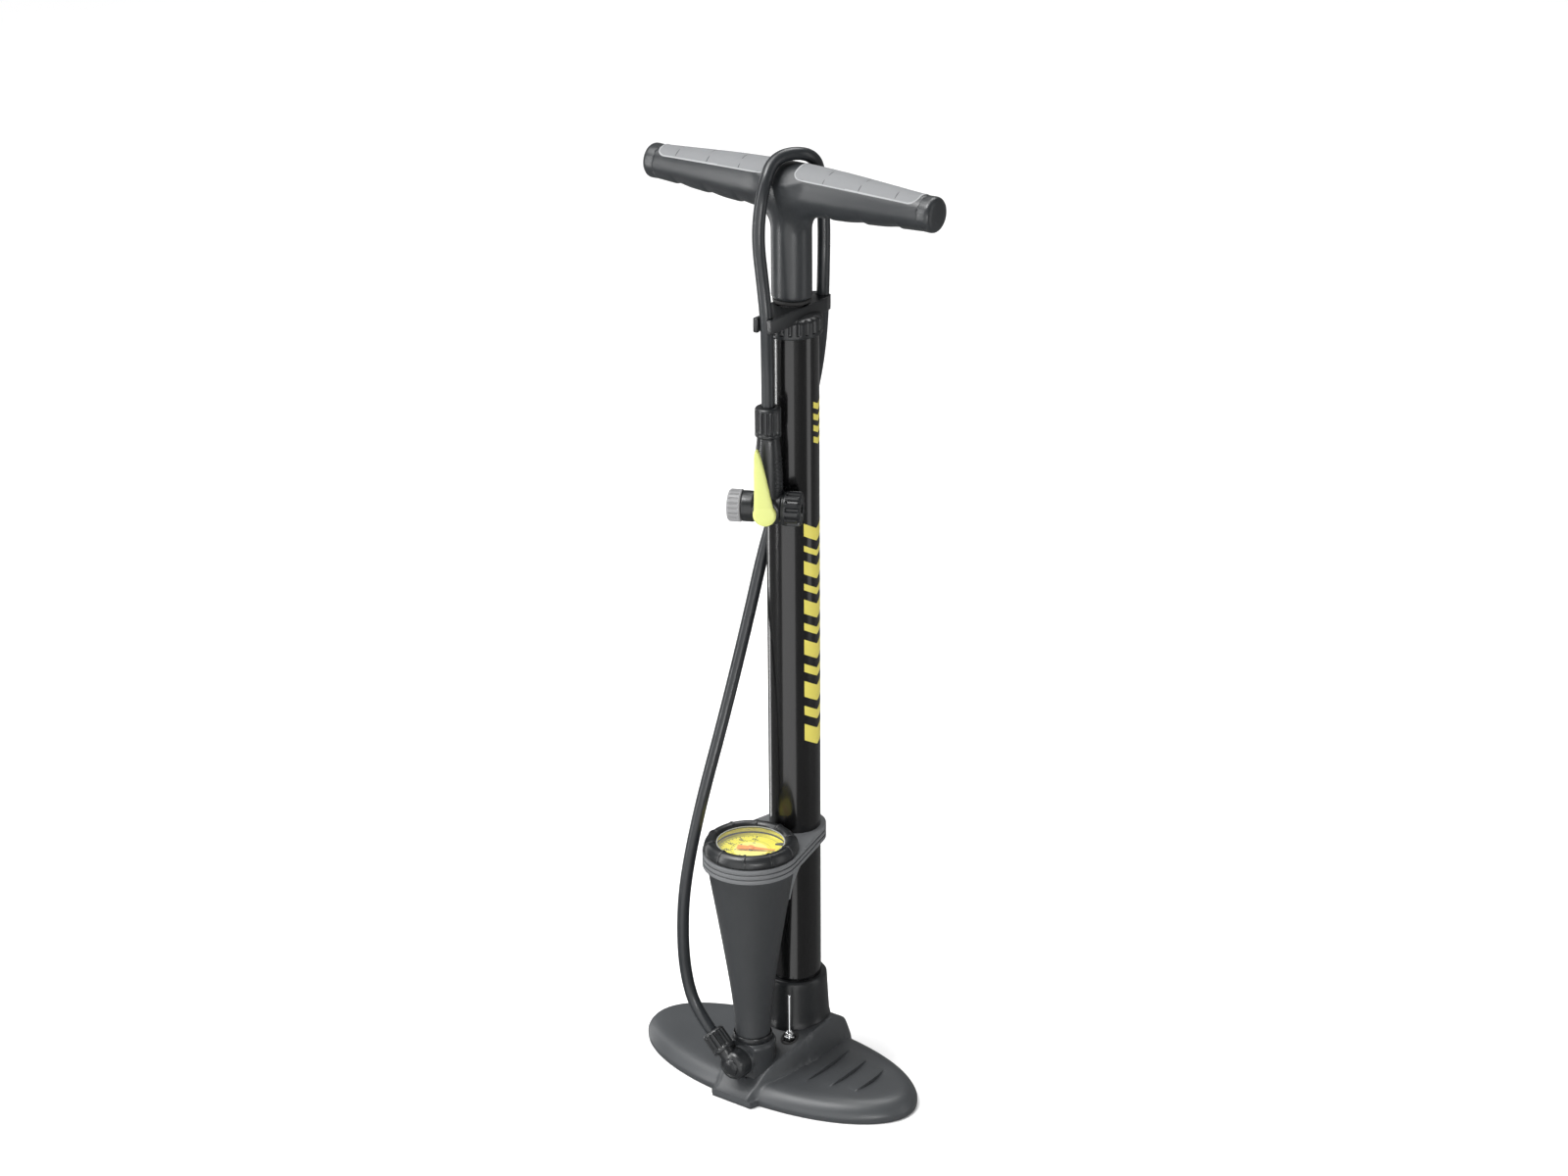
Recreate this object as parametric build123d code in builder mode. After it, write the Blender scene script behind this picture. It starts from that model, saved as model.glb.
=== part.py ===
from build123d import *
import os
from math import atan2, cos, degrees, hypot, pi, radians, sin, tan

# Upright bicycle floor pump: base, barrel, T handle with plunger, gauge column and a stored
# hose with a twin-port head. Millimetres, +Z up, X along the handle, -Y the gauge side.
# The origin is on the floor, on the barrel's axis.

# ---------------------------------------------------------------- driving dimensions
SLIP = 0.05                       # radial clearance of a running fit

BASE_A, BASE_B = 118.4, 56.2      # half length and half width of the oval base
BASE_Y = -20.4                    # oval's centre, in front of the barrel
RIM_H = 5.5                       # upright rim of the base
WING_H = 15.0                     # height of the tread wings
SKIN = 3.0                        # wall of the moulded base
TREAD_X = (42.0, 61.0, 80.0)      # tread slits on the right wing
TREAD_LEN = (58.0, 48.0, 37.0)
TREAD_Y = -18.0

BARREL_R, BARREL_WALL = 19.0, 1.5
BORE_R = BARREL_R - BARREL_WALL
BARREL_Z = (46.0, 588.0)
SOCKET_TOP = 75.4
SOCKET_R = (23.0, 26.0)           # socket at its mouth and where it meets the base
SOCKET_SEAT = 33.0                # counterbore floor in the base
SPIGOT_R = 22.6

COLUMN_Y = -54.6                  # axis of the gauge column and the gauge
COLUMN_FOOT_R, COLUMN_TOP_R = 13.0, 32.0
COLUMN_FOOT_Z, BRACKET_Z = 44.0, 187.0
BRACKET_TOP = 198.0
MANIFOLD_R, MANIFOLD_TOP = 16.8, 43.5
DUCT_Z, DUCT_R = 24.0, 2.0
BEZEL_R = 34.3

SWIVEL_Z = 30.0                   # hose swivel turns about Y at this height
SWIVEL_Y = -77.0                  # plane in which the swivel's neck turns
SWIVEL_TILT = 45.0                # neck above horizontal, towards -X
DRUM_R = 11.3
BOSS_Y, DRUM_BACK = 58.0, 71.4    # manifold's boss and the drum's back, in front of the barrel
NUT_END = 30.0                    # from the swivel's axis to the end of its nut

ROD_R = 5.0
CAP_Z = (576.0, 590.0)
CAP_R = 21.5
DOCK_Z = (590.3, 598.5)
CLIP_FRONT, CLIP_BACK = (5.5, -37.4), (6.2, 28.1)
STEM_R, STEM_Z = 14.3, 602.9
HANDLE_Z = 681.3                  # axis of the handle's bar
BAR_R, BAR_END_R = 17.6, 12.0
BAR_HALF, CAP_LEN = 112.5, 9.0

HOSE_R = 4.5
HEAD_AT = (3.8, -34.1, 458.2)     # where the head's two ports and its stem meet
HEAD_TURN = 25.0                  # port axis from +X towards +Y
HEAD_NUT = (53.0, 74.8)           # nut on the head, above the port axis

os.makedirs("parts", exist_ok=True)


def keep(builder, label):
    """Label a finished piece and write its STEP file."""
    builder.part.label = label
    export_step(builder.part, f"parts/{label}.step")


def column_outline(extra=0.0, inner=0.0):
    """Outer line of the funnel column, as points from its foot to its top."""
    rise = BRACKET_Z - COLUMN_FOOT_Z
    shape = ((0.0, 0.0), (0.13, 0.035), (0.36, 0.24), (0.68, 0.61), (1.0, 1.0))
    grow = COLUMN_TOP_R - COLUMN_FOOT_R
    return [
        (COLUMN_FOOT_R + grow * r + extra - inner, COLUMN_FOOT_Z + rise * z) for z, r in shape
    ]


def ribbed(radius, ribs, depth):
    """Sketch of a round nut with cut ribs; call inside a BuildSketch."""
    Circle(radius)
    width = pi * radius / ribs
    with PolarLocations(radius, ribs):
        Rectangle(depth * 2, width * 0.55, mode=Mode.SUBTRACT)


# ---------------------------------------------------------------- base
# Oval sections of the wings, as (height, inset from the rim).
WING_STEPS = ((RIM_H, 0.0), (8.6, 1.3), (11.4, 4.4), (13.4, 9.6), (WING_H, 20.0))
# Saddle sections: (Y, half width on top, height, half width at the foot, foot height).
SADDLE = (
    (-83.0, 14.6, 6.5, 18.0),
    (-72.0, 15.6, 13.6, 26.0),
    (-58.0, 18.6, 23.6, 29.0),
    (-38.0, 23.4, 31.4, 29.6),
    (-20.0, 27.4, 37.6, 30.0),
    (0.0, 28.2, 39.6, 30.4),
    (18.0, 28.0, 36.4, 30.4),
    (28.0, 27.4, 26.0, 29.6),
    (34.4, 26.6, 11.0, 28.0),
)


def saddle(inset, drop):
    """Sections of the raised bridge, from its front tongue to the back, inset by a wall."""
    ends = {0: inset, len(SADDLE) - 1: -inset}
    sections = []
    for i, (y, top, height, foot) in enumerate(SADDLE):
        with BuildSketch(Plane.XZ.offset(-y - ends.get(i, 0.0))) as section:
            with BuildLine():
                Polyline(
                    (-foot + inset, 0), (foot - inset, 0), (top - inset, height - drop),
                    (inset - top, height - drop), close=True,
                )
            make_face()
        sections.append(section.sketch)
    return sections


NEEDLE_AT = (15.0, -29.0)         # ball needle's place on the saddle
SCREW_XY = 19.0                   # socket screws, half their spacing

with BuildPart() as cavity:
    with BuildSketch():
        with Locations((0, BASE_Y)):
            Ellipse(BASE_A - SKIN, BASE_B - SKIN)
    extrude(amount=RIM_H - 1.5)
    for z, inset in WING_STEPS:
        with BuildSketch(Plane.XY.offset(z - SKIN)):
            with Locations((0, BASE_Y)):
                Ellipse(BASE_A - SKIN - 0.6 - inset, BASE_B - SKIN - 0.6 - inset)
    loft()
    loft(saddle(SKIN, SKIN))
    # Stiffening ribs are left standing, then the room for the inner parts is cleared.
    for x in (-78.0, -46.0, 46.0, 78.0):
        with Locations((x, BASE_Y, 10.2)):
            Box(2.4, 2 * BASE_B, 20, mode=Mode.SUBTRACT)
    for side in (-1, 1):
        with Locations((side * 76.0, BASE_Y, 10.2)):
            Box(92.0, 2.4, 20, mode=Mode.SUBTRACT)
    with Locations(*((x, y, 20.5) for x in (-SCREW_XY, SCREW_XY) for y in (-SCREW_XY, SCREW_XY))):
        Cylinder(4.0, 20.4, mode=Mode.SUBTRACT)
    with BuildSketch(Plane.XY.offset(SOCKET_SEAT - 4.7)):
        Circle(29.0)
    extrude(amount=20, mode=Mode.SUBTRACT)

with BuildPart() as base_plate:
    with BuildSketch():
        with Locations((0, BASE_Y)):
            Ellipse(BASE_A, BASE_B)
    extrude(amount=RIM_H)
    for z, inset in WING_STEPS:
        with BuildSketch(Plane.XY.offset(z)):
            with Locations((0, BASE_Y)):
                Ellipse(BASE_A - inset, BASE_B - inset)
    loft()
    loft(saddle(0.0, 0.0))
    add(cavity.part, mode=Mode.SUBTRACT)
    with BuildSketch(Plane.XY.offset(-1)):
        Circle(SPIGOT_R + 0.1)
        with Locations((0, COLUMN_Y)):
            Circle(MANIFOLD_R + 0.1)
        with Locations(NEEDLE_AT):
            Circle(5.6)
    extrude(amount=60, mode=Mode.SUBTRACT)
    with BuildSketch(Plane.XY.offset(SOCKET_SEAT)):
        Circle(SOCKET_R[1] + 0.1)
    extrude(amount=20, mode=Mode.SUBTRACT)
    with BuildSketch(Plane.XZ.offset(BOSS_Y)):
        with Locations((0, SWIVEL_Z)):
            Circle(DRUM_R + 0.3)
    extrude(amount=16, mode=Mode.SUBTRACT)
    with Locations(*((x, y, 16) for x in (-SCREW_XY, SCREW_XY) for y in (-SCREW_XY, SCREW_XY))):
        Cylinder(1.7, 13.0, mode=Mode.SUBTRACT)
    for x, length in zip(TREAD_X, TREAD_LEN):
        with Locations((x, TREAD_Y, WING_H)):
            Box(1.8, length, 2.4, mode=Mode.SUBTRACT)
keep(base_plate, "base_plate")

# ---------------------------------------------------------------- barrel foot and check valve
with BuildPart() as barrel_socket:
    with BuildSketch(Plane.XZ):
        with BuildLine():
            Polyline(
                (0, 0), (SPIGOT_R, 0), (SPIGOT_R, SOCKET_SEAT + 0.1),
                (SOCKET_R[1], SOCKET_SEAT + 0.1), (SOCKET_R[1], 38), (25.0, 43),
                (SOCKET_R[0] + 0.3, 73.8), (SOCKET_R[0] - 0.9, SOCKET_TOP),
                (BARREL_R + SLIP, SOCKET_TOP), (BARREL_R + SLIP, 46), (17.45, 46), (17.45, 34),
                (3.6, 34), (3.6, 20), (0, 20), close=True,
            )
        make_face()
    revolve(axis=Axis.Z)
    with BuildSketch(Plane.XY.offset(6)):
        RectangleRounded(48, 48, 5)
        Circle(SPIGOT_R - 1, mode=Mode.SUBTRACT)
    extrude(amount=4)
    with BuildSketch(Plane.XY.offset(5)):
        with GridLocations(2 * SCREW_XY, 2 * SCREW_XY, 2, 2):
            Circle(2.2)
    extrude(amount=6, mode=Mode.SUBTRACT)
    with BuildSketch(Plane.XZ):
        with Locations((0, DUCT_Z)):
            Circle(DUCT_R)
    extrude(amount=30, mode=Mode.SUBTRACT)
keep(barrel_socket, "barrel_socket")

with BuildPart() as base_screws:
    with BuildSketch(Plane.XY.offset(3.4)):
        with GridLocations(2 * SCREW_XY, 2 * SCREW_XY, 2, 2):
            Circle(3.6)
    extrude(amount=2.5)
    with BuildSketch(Plane.XY.offset(5.9)):
        with GridLocations(2 * SCREW_XY, 2 * SCREW_XY, 2, 2):
            Circle(1.65)
    extrude(amount=15)
    with BuildSketch(Plane.XY.offset(3.4)):
        with GridLocations(2 * SCREW_XY, 2 * SCREW_XY, 2, 2):
            Rectangle(4.4, 0.9)
            Rectangle(0.9, 4.4)
    extrude(amount=1.3, mode=Mode.SUBTRACT)
keep(base_screws, "base_screws")

with BuildPart() as barrel_gasket:
    with BuildSketch(Plane.XY.offset(46.05)):
        Circle(BARREL_R)
        Circle(BORE_R, mode=Mode.SUBTRACT)
    extrude(amount=1.5)
keep(barrel_gasket, "barrel_gasket")

with BuildPart() as check_valve_seat:
    with BuildSketch(Plane.XZ):
        with BuildLine():
            Polyline(
                (2, 45.9), (17.4, 45.9), (17.4, 34.05), (3.7, 34.05), (3.7, 41), (2, 41), close=True
            )
        make_face()
    revolve(axis=Axis.Z)
keep(check_valve_seat, "check_valve_seat")

with BuildPart() as check_valve_ball:
    with Locations((0, 0, 38.7)):
        Sphere(3.0)
keep(check_valve_ball, "check_valve_ball")

with BuildPart() as check_valve_spring:
    with BuildLine(Plane.XY.offset(20.6)):
        coil = Helix(pitch=2.8, height=14.0, radius=2.6)
    with BuildSketch(Plane(origin=coil @ 0, z_dir=coil % 0)):
        Circle(0.35)
    sweep(path=coil, is_frenet=True)
keep(check_valve_spring, "check_valve_spring")

with BuildPart() as air_duct:
    with BuildSketch(Plane.XZ.offset(SPIGOT_R + 0.1)):
        with Locations((0, DUCT_Z)):
            Circle(4)
            Circle(DUCT_R, mode=Mode.SUBTRACT)
    extrude(amount=-COLUMN_Y - MANIFOLD_R - SPIGOT_R - 0.2)
keep(air_duct, "air_duct")

# ---------------------------------------------------------------- manifold and hose swivel
with BuildPart() as manifold:
    with BuildSketch(Plane.XZ.offset(-COLUMN_Y)):
        with BuildLine():
            shoulder = Polyline((0, MANIFOLD_TOP), (0, 8), (MANIFOLD_R, 8), (MANIFOLD_R, 38))
            lip = ThreePointArc((MANIFOLD_R, 38), (16.9, 41.4), (14.6, MANIFOLD_TOP))
            Line(lip @ 1, (0, MANIFOLD_TOP))
        make_face()
    revolve(axis=Axis((0, COLUMN_Y, 0), (0, 0, 1)))
    with BuildSketch(Plane.XZ.offset(-SWIVEL_Y - 9.1)):
        with Locations((0, SWIVEL_Z)):
            Rectangle(60, 60)
            Circle(DRUM_R, mode=Mode.SUBTRACT)
    extrude(amount=20, mode=Mode.SUBTRACT)
    with BuildSketch(Plane.XZ.offset(BOSS_Y)):
        with Locations((0, SWIVEL_Z)):
            Circle(DRUM_R)
    extrude(amount=DRUM_BACK - BOSS_Y - 0.3)
    with BuildSketch(Plane.XZ.offset(DRUM_BACK - 0.3)):
        with Locations((0, SWIVEL_Z)):
            Rectangle(60, 60)
    extrude(amount=20, mode=Mode.SUBTRACT)
    with BuildSketch(Plane.XZ.offset(62)):
        with Locations((0, SWIVEL_Z)):
            Circle(5.05)
    extrude(amount=10, mode=Mode.SUBTRACT)
    with BuildSketch(Plane.XZ.offset(53)):
        with Locations((0, SWIVEL_Z)):
            Circle(1.6)
    extrude(amount=10, mode=Mode.SUBTRACT)
    with BuildSketch(Plane.XY.offset(DUCT_Z)):
        with Locations((0, COLUMN_Y)):
            Circle(2.0)
    extrude(amount=30, mode=Mode.SUBTRACT)
    with BuildSketch(Plane.XZ.offset(30)):
        with Locations((0, DUCT_Z)):
            Circle(DUCT_R)
    extrude(amount=23, mode=Mode.SUBTRACT)
keep(manifold, "manifold")

POST_END = DRUM_BACK + 7.6
with BuildPart() as swivel_post:
    with BuildSketch(Plane.XZ.offset(62.1)):
        with Locations((0, SWIVEL_Z)):
            Circle(5)
            Circle(1.6, mode=Mode.SUBTRACT)
    extrude(amount=POST_END - 62.1)
    with BuildSketch(Plane.XZ.offset(DRUM_BACK + 1.5)):
        with Locations((0, SWIVEL_Z)):
            Circle(5.2)
            Circle(4.1, mode=Mode.SUBTRACT)
    extrude(amount=1.6, mode=Mode.SUBTRACT)
keep(swivel_post, "swivel_post")

with BuildPart() as swivel_seal:
    with BuildSketch(Plane.XZ.offset(DRUM_BACK + 1.55)):
        with Locations((0, SWIVEL_Z)):
            Circle(5.0)
            Circle(4.15, mode=Mode.SUBTRACT)
    extrude(amount=1.5)
keep(swivel_seal, "swivel_seal")

tilt = radians(SWIVEL_TILT)
neck_dir = Vector(-cos(tilt), 0, sin(tilt))
NECK = Plane(origin=(0, SWIVEL_Y, SWIVEL_Z), x_dir=(0, 1, 0), z_dir=neck_dir)
SWIVEL_AXIS = Axis((0, 0, SWIVEL_Z), (0, -1, 0))

with BuildPart() as hose_swivel:
    with BuildSketch(NECK.offset(4)):
        Circle(6.4)
    extrude(amount=10.4)
    with BuildSketch(Plane.XZ.offset(50)):
        with Locations((0, SWIVEL_Z)):
            Rectangle(60, 60)
    extrude(amount=DRUM_BACK - 50, mode=Mode.SUBTRACT)
    with BuildSketch(Plane.XY.offset(SWIVEL_Z)):
        with BuildLine():
            Polyline((0, -DRUM_BACK), (DRUM_R, -DRUM_BACK), (DRUM_R, -79.9))
            Polyline((DRUM_R, -79.9), (10.2, -81.9), (7.8, -83.0), (4.0, -83.8), (0, -84.1),
                     (0, -DRUM_BACK))
        make_face()
    revolve(axis=SWIVEL_AXIS)
    with BuildSketch(NECK.offset(14.4)):
        Circle(3.2)
    extrude(amount=NUT_END - 14.5)
    with BuildSketch(Plane.XZ.offset(DRUM_BACK - 0.1)):
        with Locations((0, SWIVEL_Z)):
            Circle(5.0 + SLIP)
    extrude(amount=8.0, mode=Mode.SUBTRACT)
    with BuildSketch(NECK.offset(0)):
        Circle(1.5)
    extrude(amount=NUT_END + 1, mode=Mode.SUBTRACT)
keep(hose_swivel, "hose_swivel")

with BuildPart() as swivel_nut:
    with BuildSketch(NECK.offset(12.6)):
        ribbed(8.7, 18, 0.7)
    extrude(amount=NUT_END - 14.4)
    with BuildSketch(NECK.offset(NUT_END - 1.8)):
        Circle(8.2)
    extrude(amount=1.8, taper=30)
    with BuildSketch(NECK.offset(12)):
        Circle(6.45)
    extrude(amount=2.5, mode=Mode.SUBTRACT)
    with BuildSketch(NECK.offset(14.5)):
        Circle(3.25)
    extrude(amount=NUT_END, mode=Mode.SUBTRACT)
keep(swivel_nut, "swivel_nut")

# ---------------------------------------------------------------- ball needle
with BuildPart() as needle_holder:
    with BuildSketch(Plane.XY.offset(24)):
        with Locations(NEEDLE_AT):
            Circle(5.5)
            Circle(2.5, mode=Mode.SUBTRACT)
    extrude(amount=10.4)
    with BuildSketch(Plane.XY.offset(31.5)):
        with Locations(NEEDLE_AT):
            Circle(4.8)
    extrude(amount=4, mode=Mode.SUBTRACT)
keep(needle_holder, "needle_holder")

with BuildPart() as ball_needle:
    with BuildSketch(Plane.XY.offset(25)):
        with Locations(NEEDLE_AT):
            Circle(2.4)
    extrude(amount=7.0)
    with BuildSketch(Plane.XY.offset(32)):
        with Locations(NEEDLE_AT):
            RegularPolygon(4.2, 6)
    extrude(amount=3.2)
    with BuildSketch(Plane.XY.offset(35.2)):
        with Locations(NEEDLE_AT):
            Circle(2.2)
    extrude(amount=1.8, taper=25)
    with BuildSketch(Plane.XY.offset(35.2)):
        with Locations(NEEDLE_AT):
            Circle(1.15)
    extrude(amount=35.8)
    with BuildSketch(Plane.XY.offset(24.5)):
        with Locations(NEEDLE_AT):
            Circle(0.6)
    extrude(amount=42, mode=Mode.SUBTRACT)
    with Locations((NEEDLE_AT[0], NEEDLE_AT[1], 67.0)):
        Cylinder(0.45, 4, rotation=(90, 0, 0), mode=Mode.SUBTRACT)
keep(ball_needle, "ball_needle")

# ---------------------------------------------------------------- gauge column and bracket
COLUMN = Plane.XZ.offset(-COLUMN_Y)
COLUMN_AXIS = Axis((0, COLUMN_Y, 0), (0, 0, 1))

with BuildPart() as column_ring:
    with BuildSketch(Plane.XY.offset(MANIFOLD_TOP + 0.1)):
        with Locations((0, COLUMN_Y)):
            Circle(14.4)
            Circle(COLUMN_FOOT_R + 0.35, mode=Mode.SUBTRACT)
    extrude(amount=4.6)
keep(column_ring, "column_ring")

with BuildPart() as gauge_column:
    with BuildSketch(COLUMN):
        with BuildLine():
            outer = Spline(*column_outline())
            inner = Spline(*column_outline(inner=2.2))
            Line(outer @ 0, inner @ 0)
            Line(outer @ 1, inner @ 1)
        make_face()
    revolve(axis=COLUMN_AXIS)
keep(gauge_column, "gauge_column")


def bracket_outline(extra):
    """Plan of the bracket: two rounds joined by their tangents; call inside a BuildSketch."""
    big, small = BEZEL_R + 0.9 + extra, 23.0 + extra
    side = (big - small) / -COLUMN_Y
    run = (1 - side**2) ** 0.5
    with Locations((0, COLUMN_Y)):
        Circle(big)
    Circle(small)
    Polygon(
        (-big * run, COLUMN_Y + big * side), (big * run, COLUMN_Y + big * side),
        (small * run, small * side), (-small * run, small * side), align=None,
    )


def bracket_plan(z, extra):
    """Sketch of the bracket's plan at a height."""
    with BuildSketch(Plane.XY.offset(z)) as plan:
        bracket_outline(extra)
    return plan.sketch


with BuildPart() as column_space:
    with BuildSketch(COLUMN):
        with BuildLine():
            wall = Spline(*column_outline(extra=0.1))
            Polyline(wall @ 0, (0, COLUMN_FOOT_Z), (0, BRACKET_Z), wall @ 1)
        make_face()
    revolve(axis=COLUMN_AXIS)

with BuildPart() as bracket_web:
    with BuildSketch(Plane.YZ.offset(-18)):
        with BuildLine():
            ThreePointArc((12, BRACKET_Z), (-14, BRACKET_Z - 9), (-31, BRACKET_Z - 34))
            Polyline((-31, BRACKET_Z - 34), (-45, BRACKET_Z - 34), (-45, BRACKET_Z), (12, BRACKET_Z))
        make_face()
    extrude(amount=36)
    add(column_space.part, mode=Mode.SUBTRACT)

with BuildPart() as gauge_bracket:
    with BuildSketch(Plane.XY.offset(BRACKET_Z)):
        bracket_outline(0.0)
    extrude(amount=BRACKET_TOP - BRACKET_Z)
    for z in (BRACKET_Z + 3.0, BRACKET_Z + 6.8):
        groove = bracket_plan(z, 1.0) - bracket_plan(z, -0.9)
        extrude(groove, amount=1.1, mode=Mode.SUBTRACT)
    add(bracket_web.part)
    with BuildSketch(Plane.XY.offset(100)):
        Circle(BARREL_R + SLIP)
    extrude(amount=110, mode=Mode.SUBTRACT)
    with BuildSketch(Plane.XY.offset(BRACKET_Z - 1)):
        with Locations((0, COLUMN_Y)):
            Circle(27.5)
    extrude(amount=20, mode=Mode.SUBTRACT)
keep(gauge_bracket, "gauge_bracket")

# ---------------------------------------------------------------- pressure gauge
GAUGE_PLANE = Plane((0, COLUMN_Y, 0))
SECTOR_AT = (9.0, 10.7)           # sector's pivot from the gauge's axis
PINION_R = 1.9
SECTOR_R = hypot(*SECTOR_AT) - PINION_R - 0.1
NEEDLE_ANGLE = 24.0               # pointer at rest, from +X


def tilted(degrees):
    """Unit vector in plan, from +X."""
    return (cos(radians(degrees)), sin(radians(degrees)), 0)


with BuildPart() as gauge_case:
    with BuildSketch(COLUMN):
        with BuildLine():
            Polyline(
                (2.4, 176), (27.2, 176), (27.2, 198.1), (31, 198.1), (31, 199.6), (25.8, 199.6),
                (25.8, 197), (24.2, 197), (24.2, 195.6), (25.8, 194), (25.8, 177.6), (2.4, 177.6),
                close=True,
            )
        make_face()
    revolve(axis=COLUMN_AXIS)
keep(gauge_case, "gauge_case")

with BuildPart() as gauge_pipe:
    with BuildSketch(GAUGE_PLANE.offset(30)):
        Circle(1.95)
        Circle(1.0, mode=Mode.SUBTRACT)
    extrude(amount=147.9)
keep(gauge_pipe, "gauge_pipe")

with BuildPart() as gauge_socket:
    with BuildSketch(GAUGE_PLANE.offset(178)):
        Circle(4)
        with Locations((-11, 0)):
            Rectangle(18, 5)
    extrude(amount=3.8)
keep(gauge_socket, "gauge_socket")

with BuildPart() as bourdon_tube:
    with BuildSketch(COLUMN):
        with Locations((-18.5, 184.7)):
            Rectangle(1.8, 5.4)
    revolve(axis=COLUMN_AXIS, revolution_arc=265)
keep(bourdon_tube, "bourdon_tube")

with BuildPart() as movement_plate:
    with BuildSketch(GAUGE_PLANE.offset(184)):
        RectangleRounded(16, 26, 3)
        with Locations(SECTOR_AT):
            Circle(3.4)
        Circle(0.8 + SLIP, mode=Mode.SUBTRACT)
    extrude(amount=1.2)
    with BuildSketch(GAUGE_PLANE.offset(177.7)):
        with Locations((0, -9), (0, 9)):
            Circle(1.5)
    extrude(amount=6.5)
    with BuildSketch(GAUGE_PLANE.offset(185)):
        with Locations(SECTOR_AT):
            Circle(1.0)
    extrude(amount=5)
keep(movement_plate, "movement_plate")

pivot = Vector(SECTOR_AT[0], COLUMN_Y + SECTOR_AT[1], 186.4)
heading = degrees(atan2(-SECTOR_AT[1], -SECTOR_AT[0]))
with BuildPart() as sector_gear:
    with BuildSketch(Plane(origin=pivot, x_dir=tilted(heading - 52))):
        Circle(SECTOR_R, arc_size=60, align=None)
        Circle(2.6)
        Circle(1.0 + SLIP, mode=Mode.SUBTRACT)
    extrude(amount=1.2)
keep(sector_gear, "sector_gear")

with BuildPart() as gauge_dial:
    with BuildSketch(GAUGE_PLANE.offset(197.05)):
        Circle(25.6)
        Circle(1.6, mode=Mode.SUBTRACT)
    extrude(amount=0.6)
keep(gauge_dial, "gauge_dial")

with BuildPart() as needle_spindle:
    with BuildSketch(GAUGE_PLANE.offset(183)):
        Circle(0.8)
    extrude(amount=15.5)
    with BuildSketch(GAUGE_PLANE.offset(185.6)):
        Circle(PINION_R)
    extrude(amount=4.0)
keep(needle_spindle, "needle_spindle")

with BuildPart() as gauge_needle:
    with BuildSketch(Plane((0, COLUMN_Y, 198.9), x_dir=tilted(NEEDLE_ANGLE))):
        Circle(2.6)
        Polygon((-10, -2.1), (-9, 2.1), (2, 1.5), (17.6, 0.35), (17.6, -0.35), (2, -1.5), align=None)
    extrude(amount=0.7)
    with BuildSketch(GAUGE_PLANE.offset(199.6)):
        Circle(2.2)
    extrude(amount=1.0, taper=20)
    with BuildSketch(GAUGE_PLANE.offset(198)):
        Circle(0.85)
    extrude(amount=0.6, mode=Mode.SUBTRACT)
keep(gauge_needle, "gauge_needle")

BEZEL_RIBS = 10
BEZEL_SIDE = ((34.3, 198.4), (34.3, 200.6), (33.2, 204.4), (30.4, 206.8), (28.0, 207.2))
with BuildPart() as bezel:
    with BuildSketch(COLUMN):
        with BuildLine():
            Polyline((20, 198.4), *((r + 0.5, z + 0.2 * (z > 199)) for r, z in BEZEL_SIDE),
                     (20, 207.4), close=True)
        make_face()
    revolve(axis=COLUMN_AXIS)
    with BuildSketch(GAUGE_PLANE.offset(190)) as rib_plan:
        with PolarLocations(30, BEZEL_RIBS, start_angle=10):
            Rectangle(14, 1.7)
    extrude(amount=30, mode=Mode.INTERSECT)
    with BuildSketch(COLUMN):
        with BuildLine():
            Polyline((20, 198.4), *BEZEL_SIDE, (20, 207.2), close=True)
        make_face()
    revolve(axis=COLUMN_AXIS)
    with BuildSketch(COLUMN):
        with BuildLine():
            Polyline(
                (0, 198), (31.35, 198), (31.35, 201.2), (27.6, 201.2), (27.6, 204.2), (24.8, 204.2),
                (25.6, 206.4), (27.6, 208), (0, 208), close=True,
            )
        make_face()
    revolve(axis=COLUMN_AXIS, mode=Mode.SUBTRACT)
keep(bezel, "bezel")

with BuildPart() as gauge_lens:
    with BuildSketch(GAUGE_PLANE.offset(202.6)):
        Circle(27.5)
    extrude(amount=1.5)
keep(gauge_lens, "gauge_lens")

with BuildPart() as target_marker:
    with BuildSketch(Plane((0, COLUMN_Y, 201.4), x_dir=tilted(36))):
        with Locations((21.5, 0)):
            Rectangle(5.0, 2.4)
    extrude(amount=1.15)
keep(target_marker, "target_marker")

# ---------------------------------------------------------------- barrel, cap and dock
with BuildPart() as barrel:
    with BuildSketch(Plane.XY.offset(47.6)):
        Circle(BARREL_R)
        Circle(BORE_R, mode=Mode.SUBTRACT)
    extrude(amount=BARREL_Z[1] - 47.6)
keep(barrel, "barrel")

with BuildPart() as barrel_cap:
    with BuildSketch(Plane.XY.offset(CAP_Z[0])):
        ribbed(CAP_R, 20, 0.8)
    extrude(amount=CAP_Z[1] - CAP_Z[0])
    with BuildSketch(Plane.XY.offset(CAP_Z[1])):
        Circle(11.5)
    extrude(amount=10.2)
    with BuildSketch(Plane.XY.offset(CAP_Z[0] - 1)):
        Circle(BARREL_R + SLIP)
    extrude(amount=BARREL_Z[1] - CAP_Z[0] + 1.1, mode=Mode.SUBTRACT)
    with BuildSketch(Plane.XY.offset(CAP_Z[0])):
        Circle(8.0 + SLIP)
    extrude(amount=40, mode=Mode.SUBTRACT)
keep(barrel_cap, "barrel_cap")

with BuildPart() as rod_bush:
    with BuildSketch(Plane.XZ):
        with BuildLine():
            Polyline(
                (ROD_R + SLIP, 582), (17.4, 582), (17.4, 587.9), (8, 587.9), (8, 600),
                (ROD_R + SLIP, 600), close=True,
            )
        make_face()
    revolve(axis=Axis.Z)
keep(rod_bush, "rod_bush")

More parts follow.
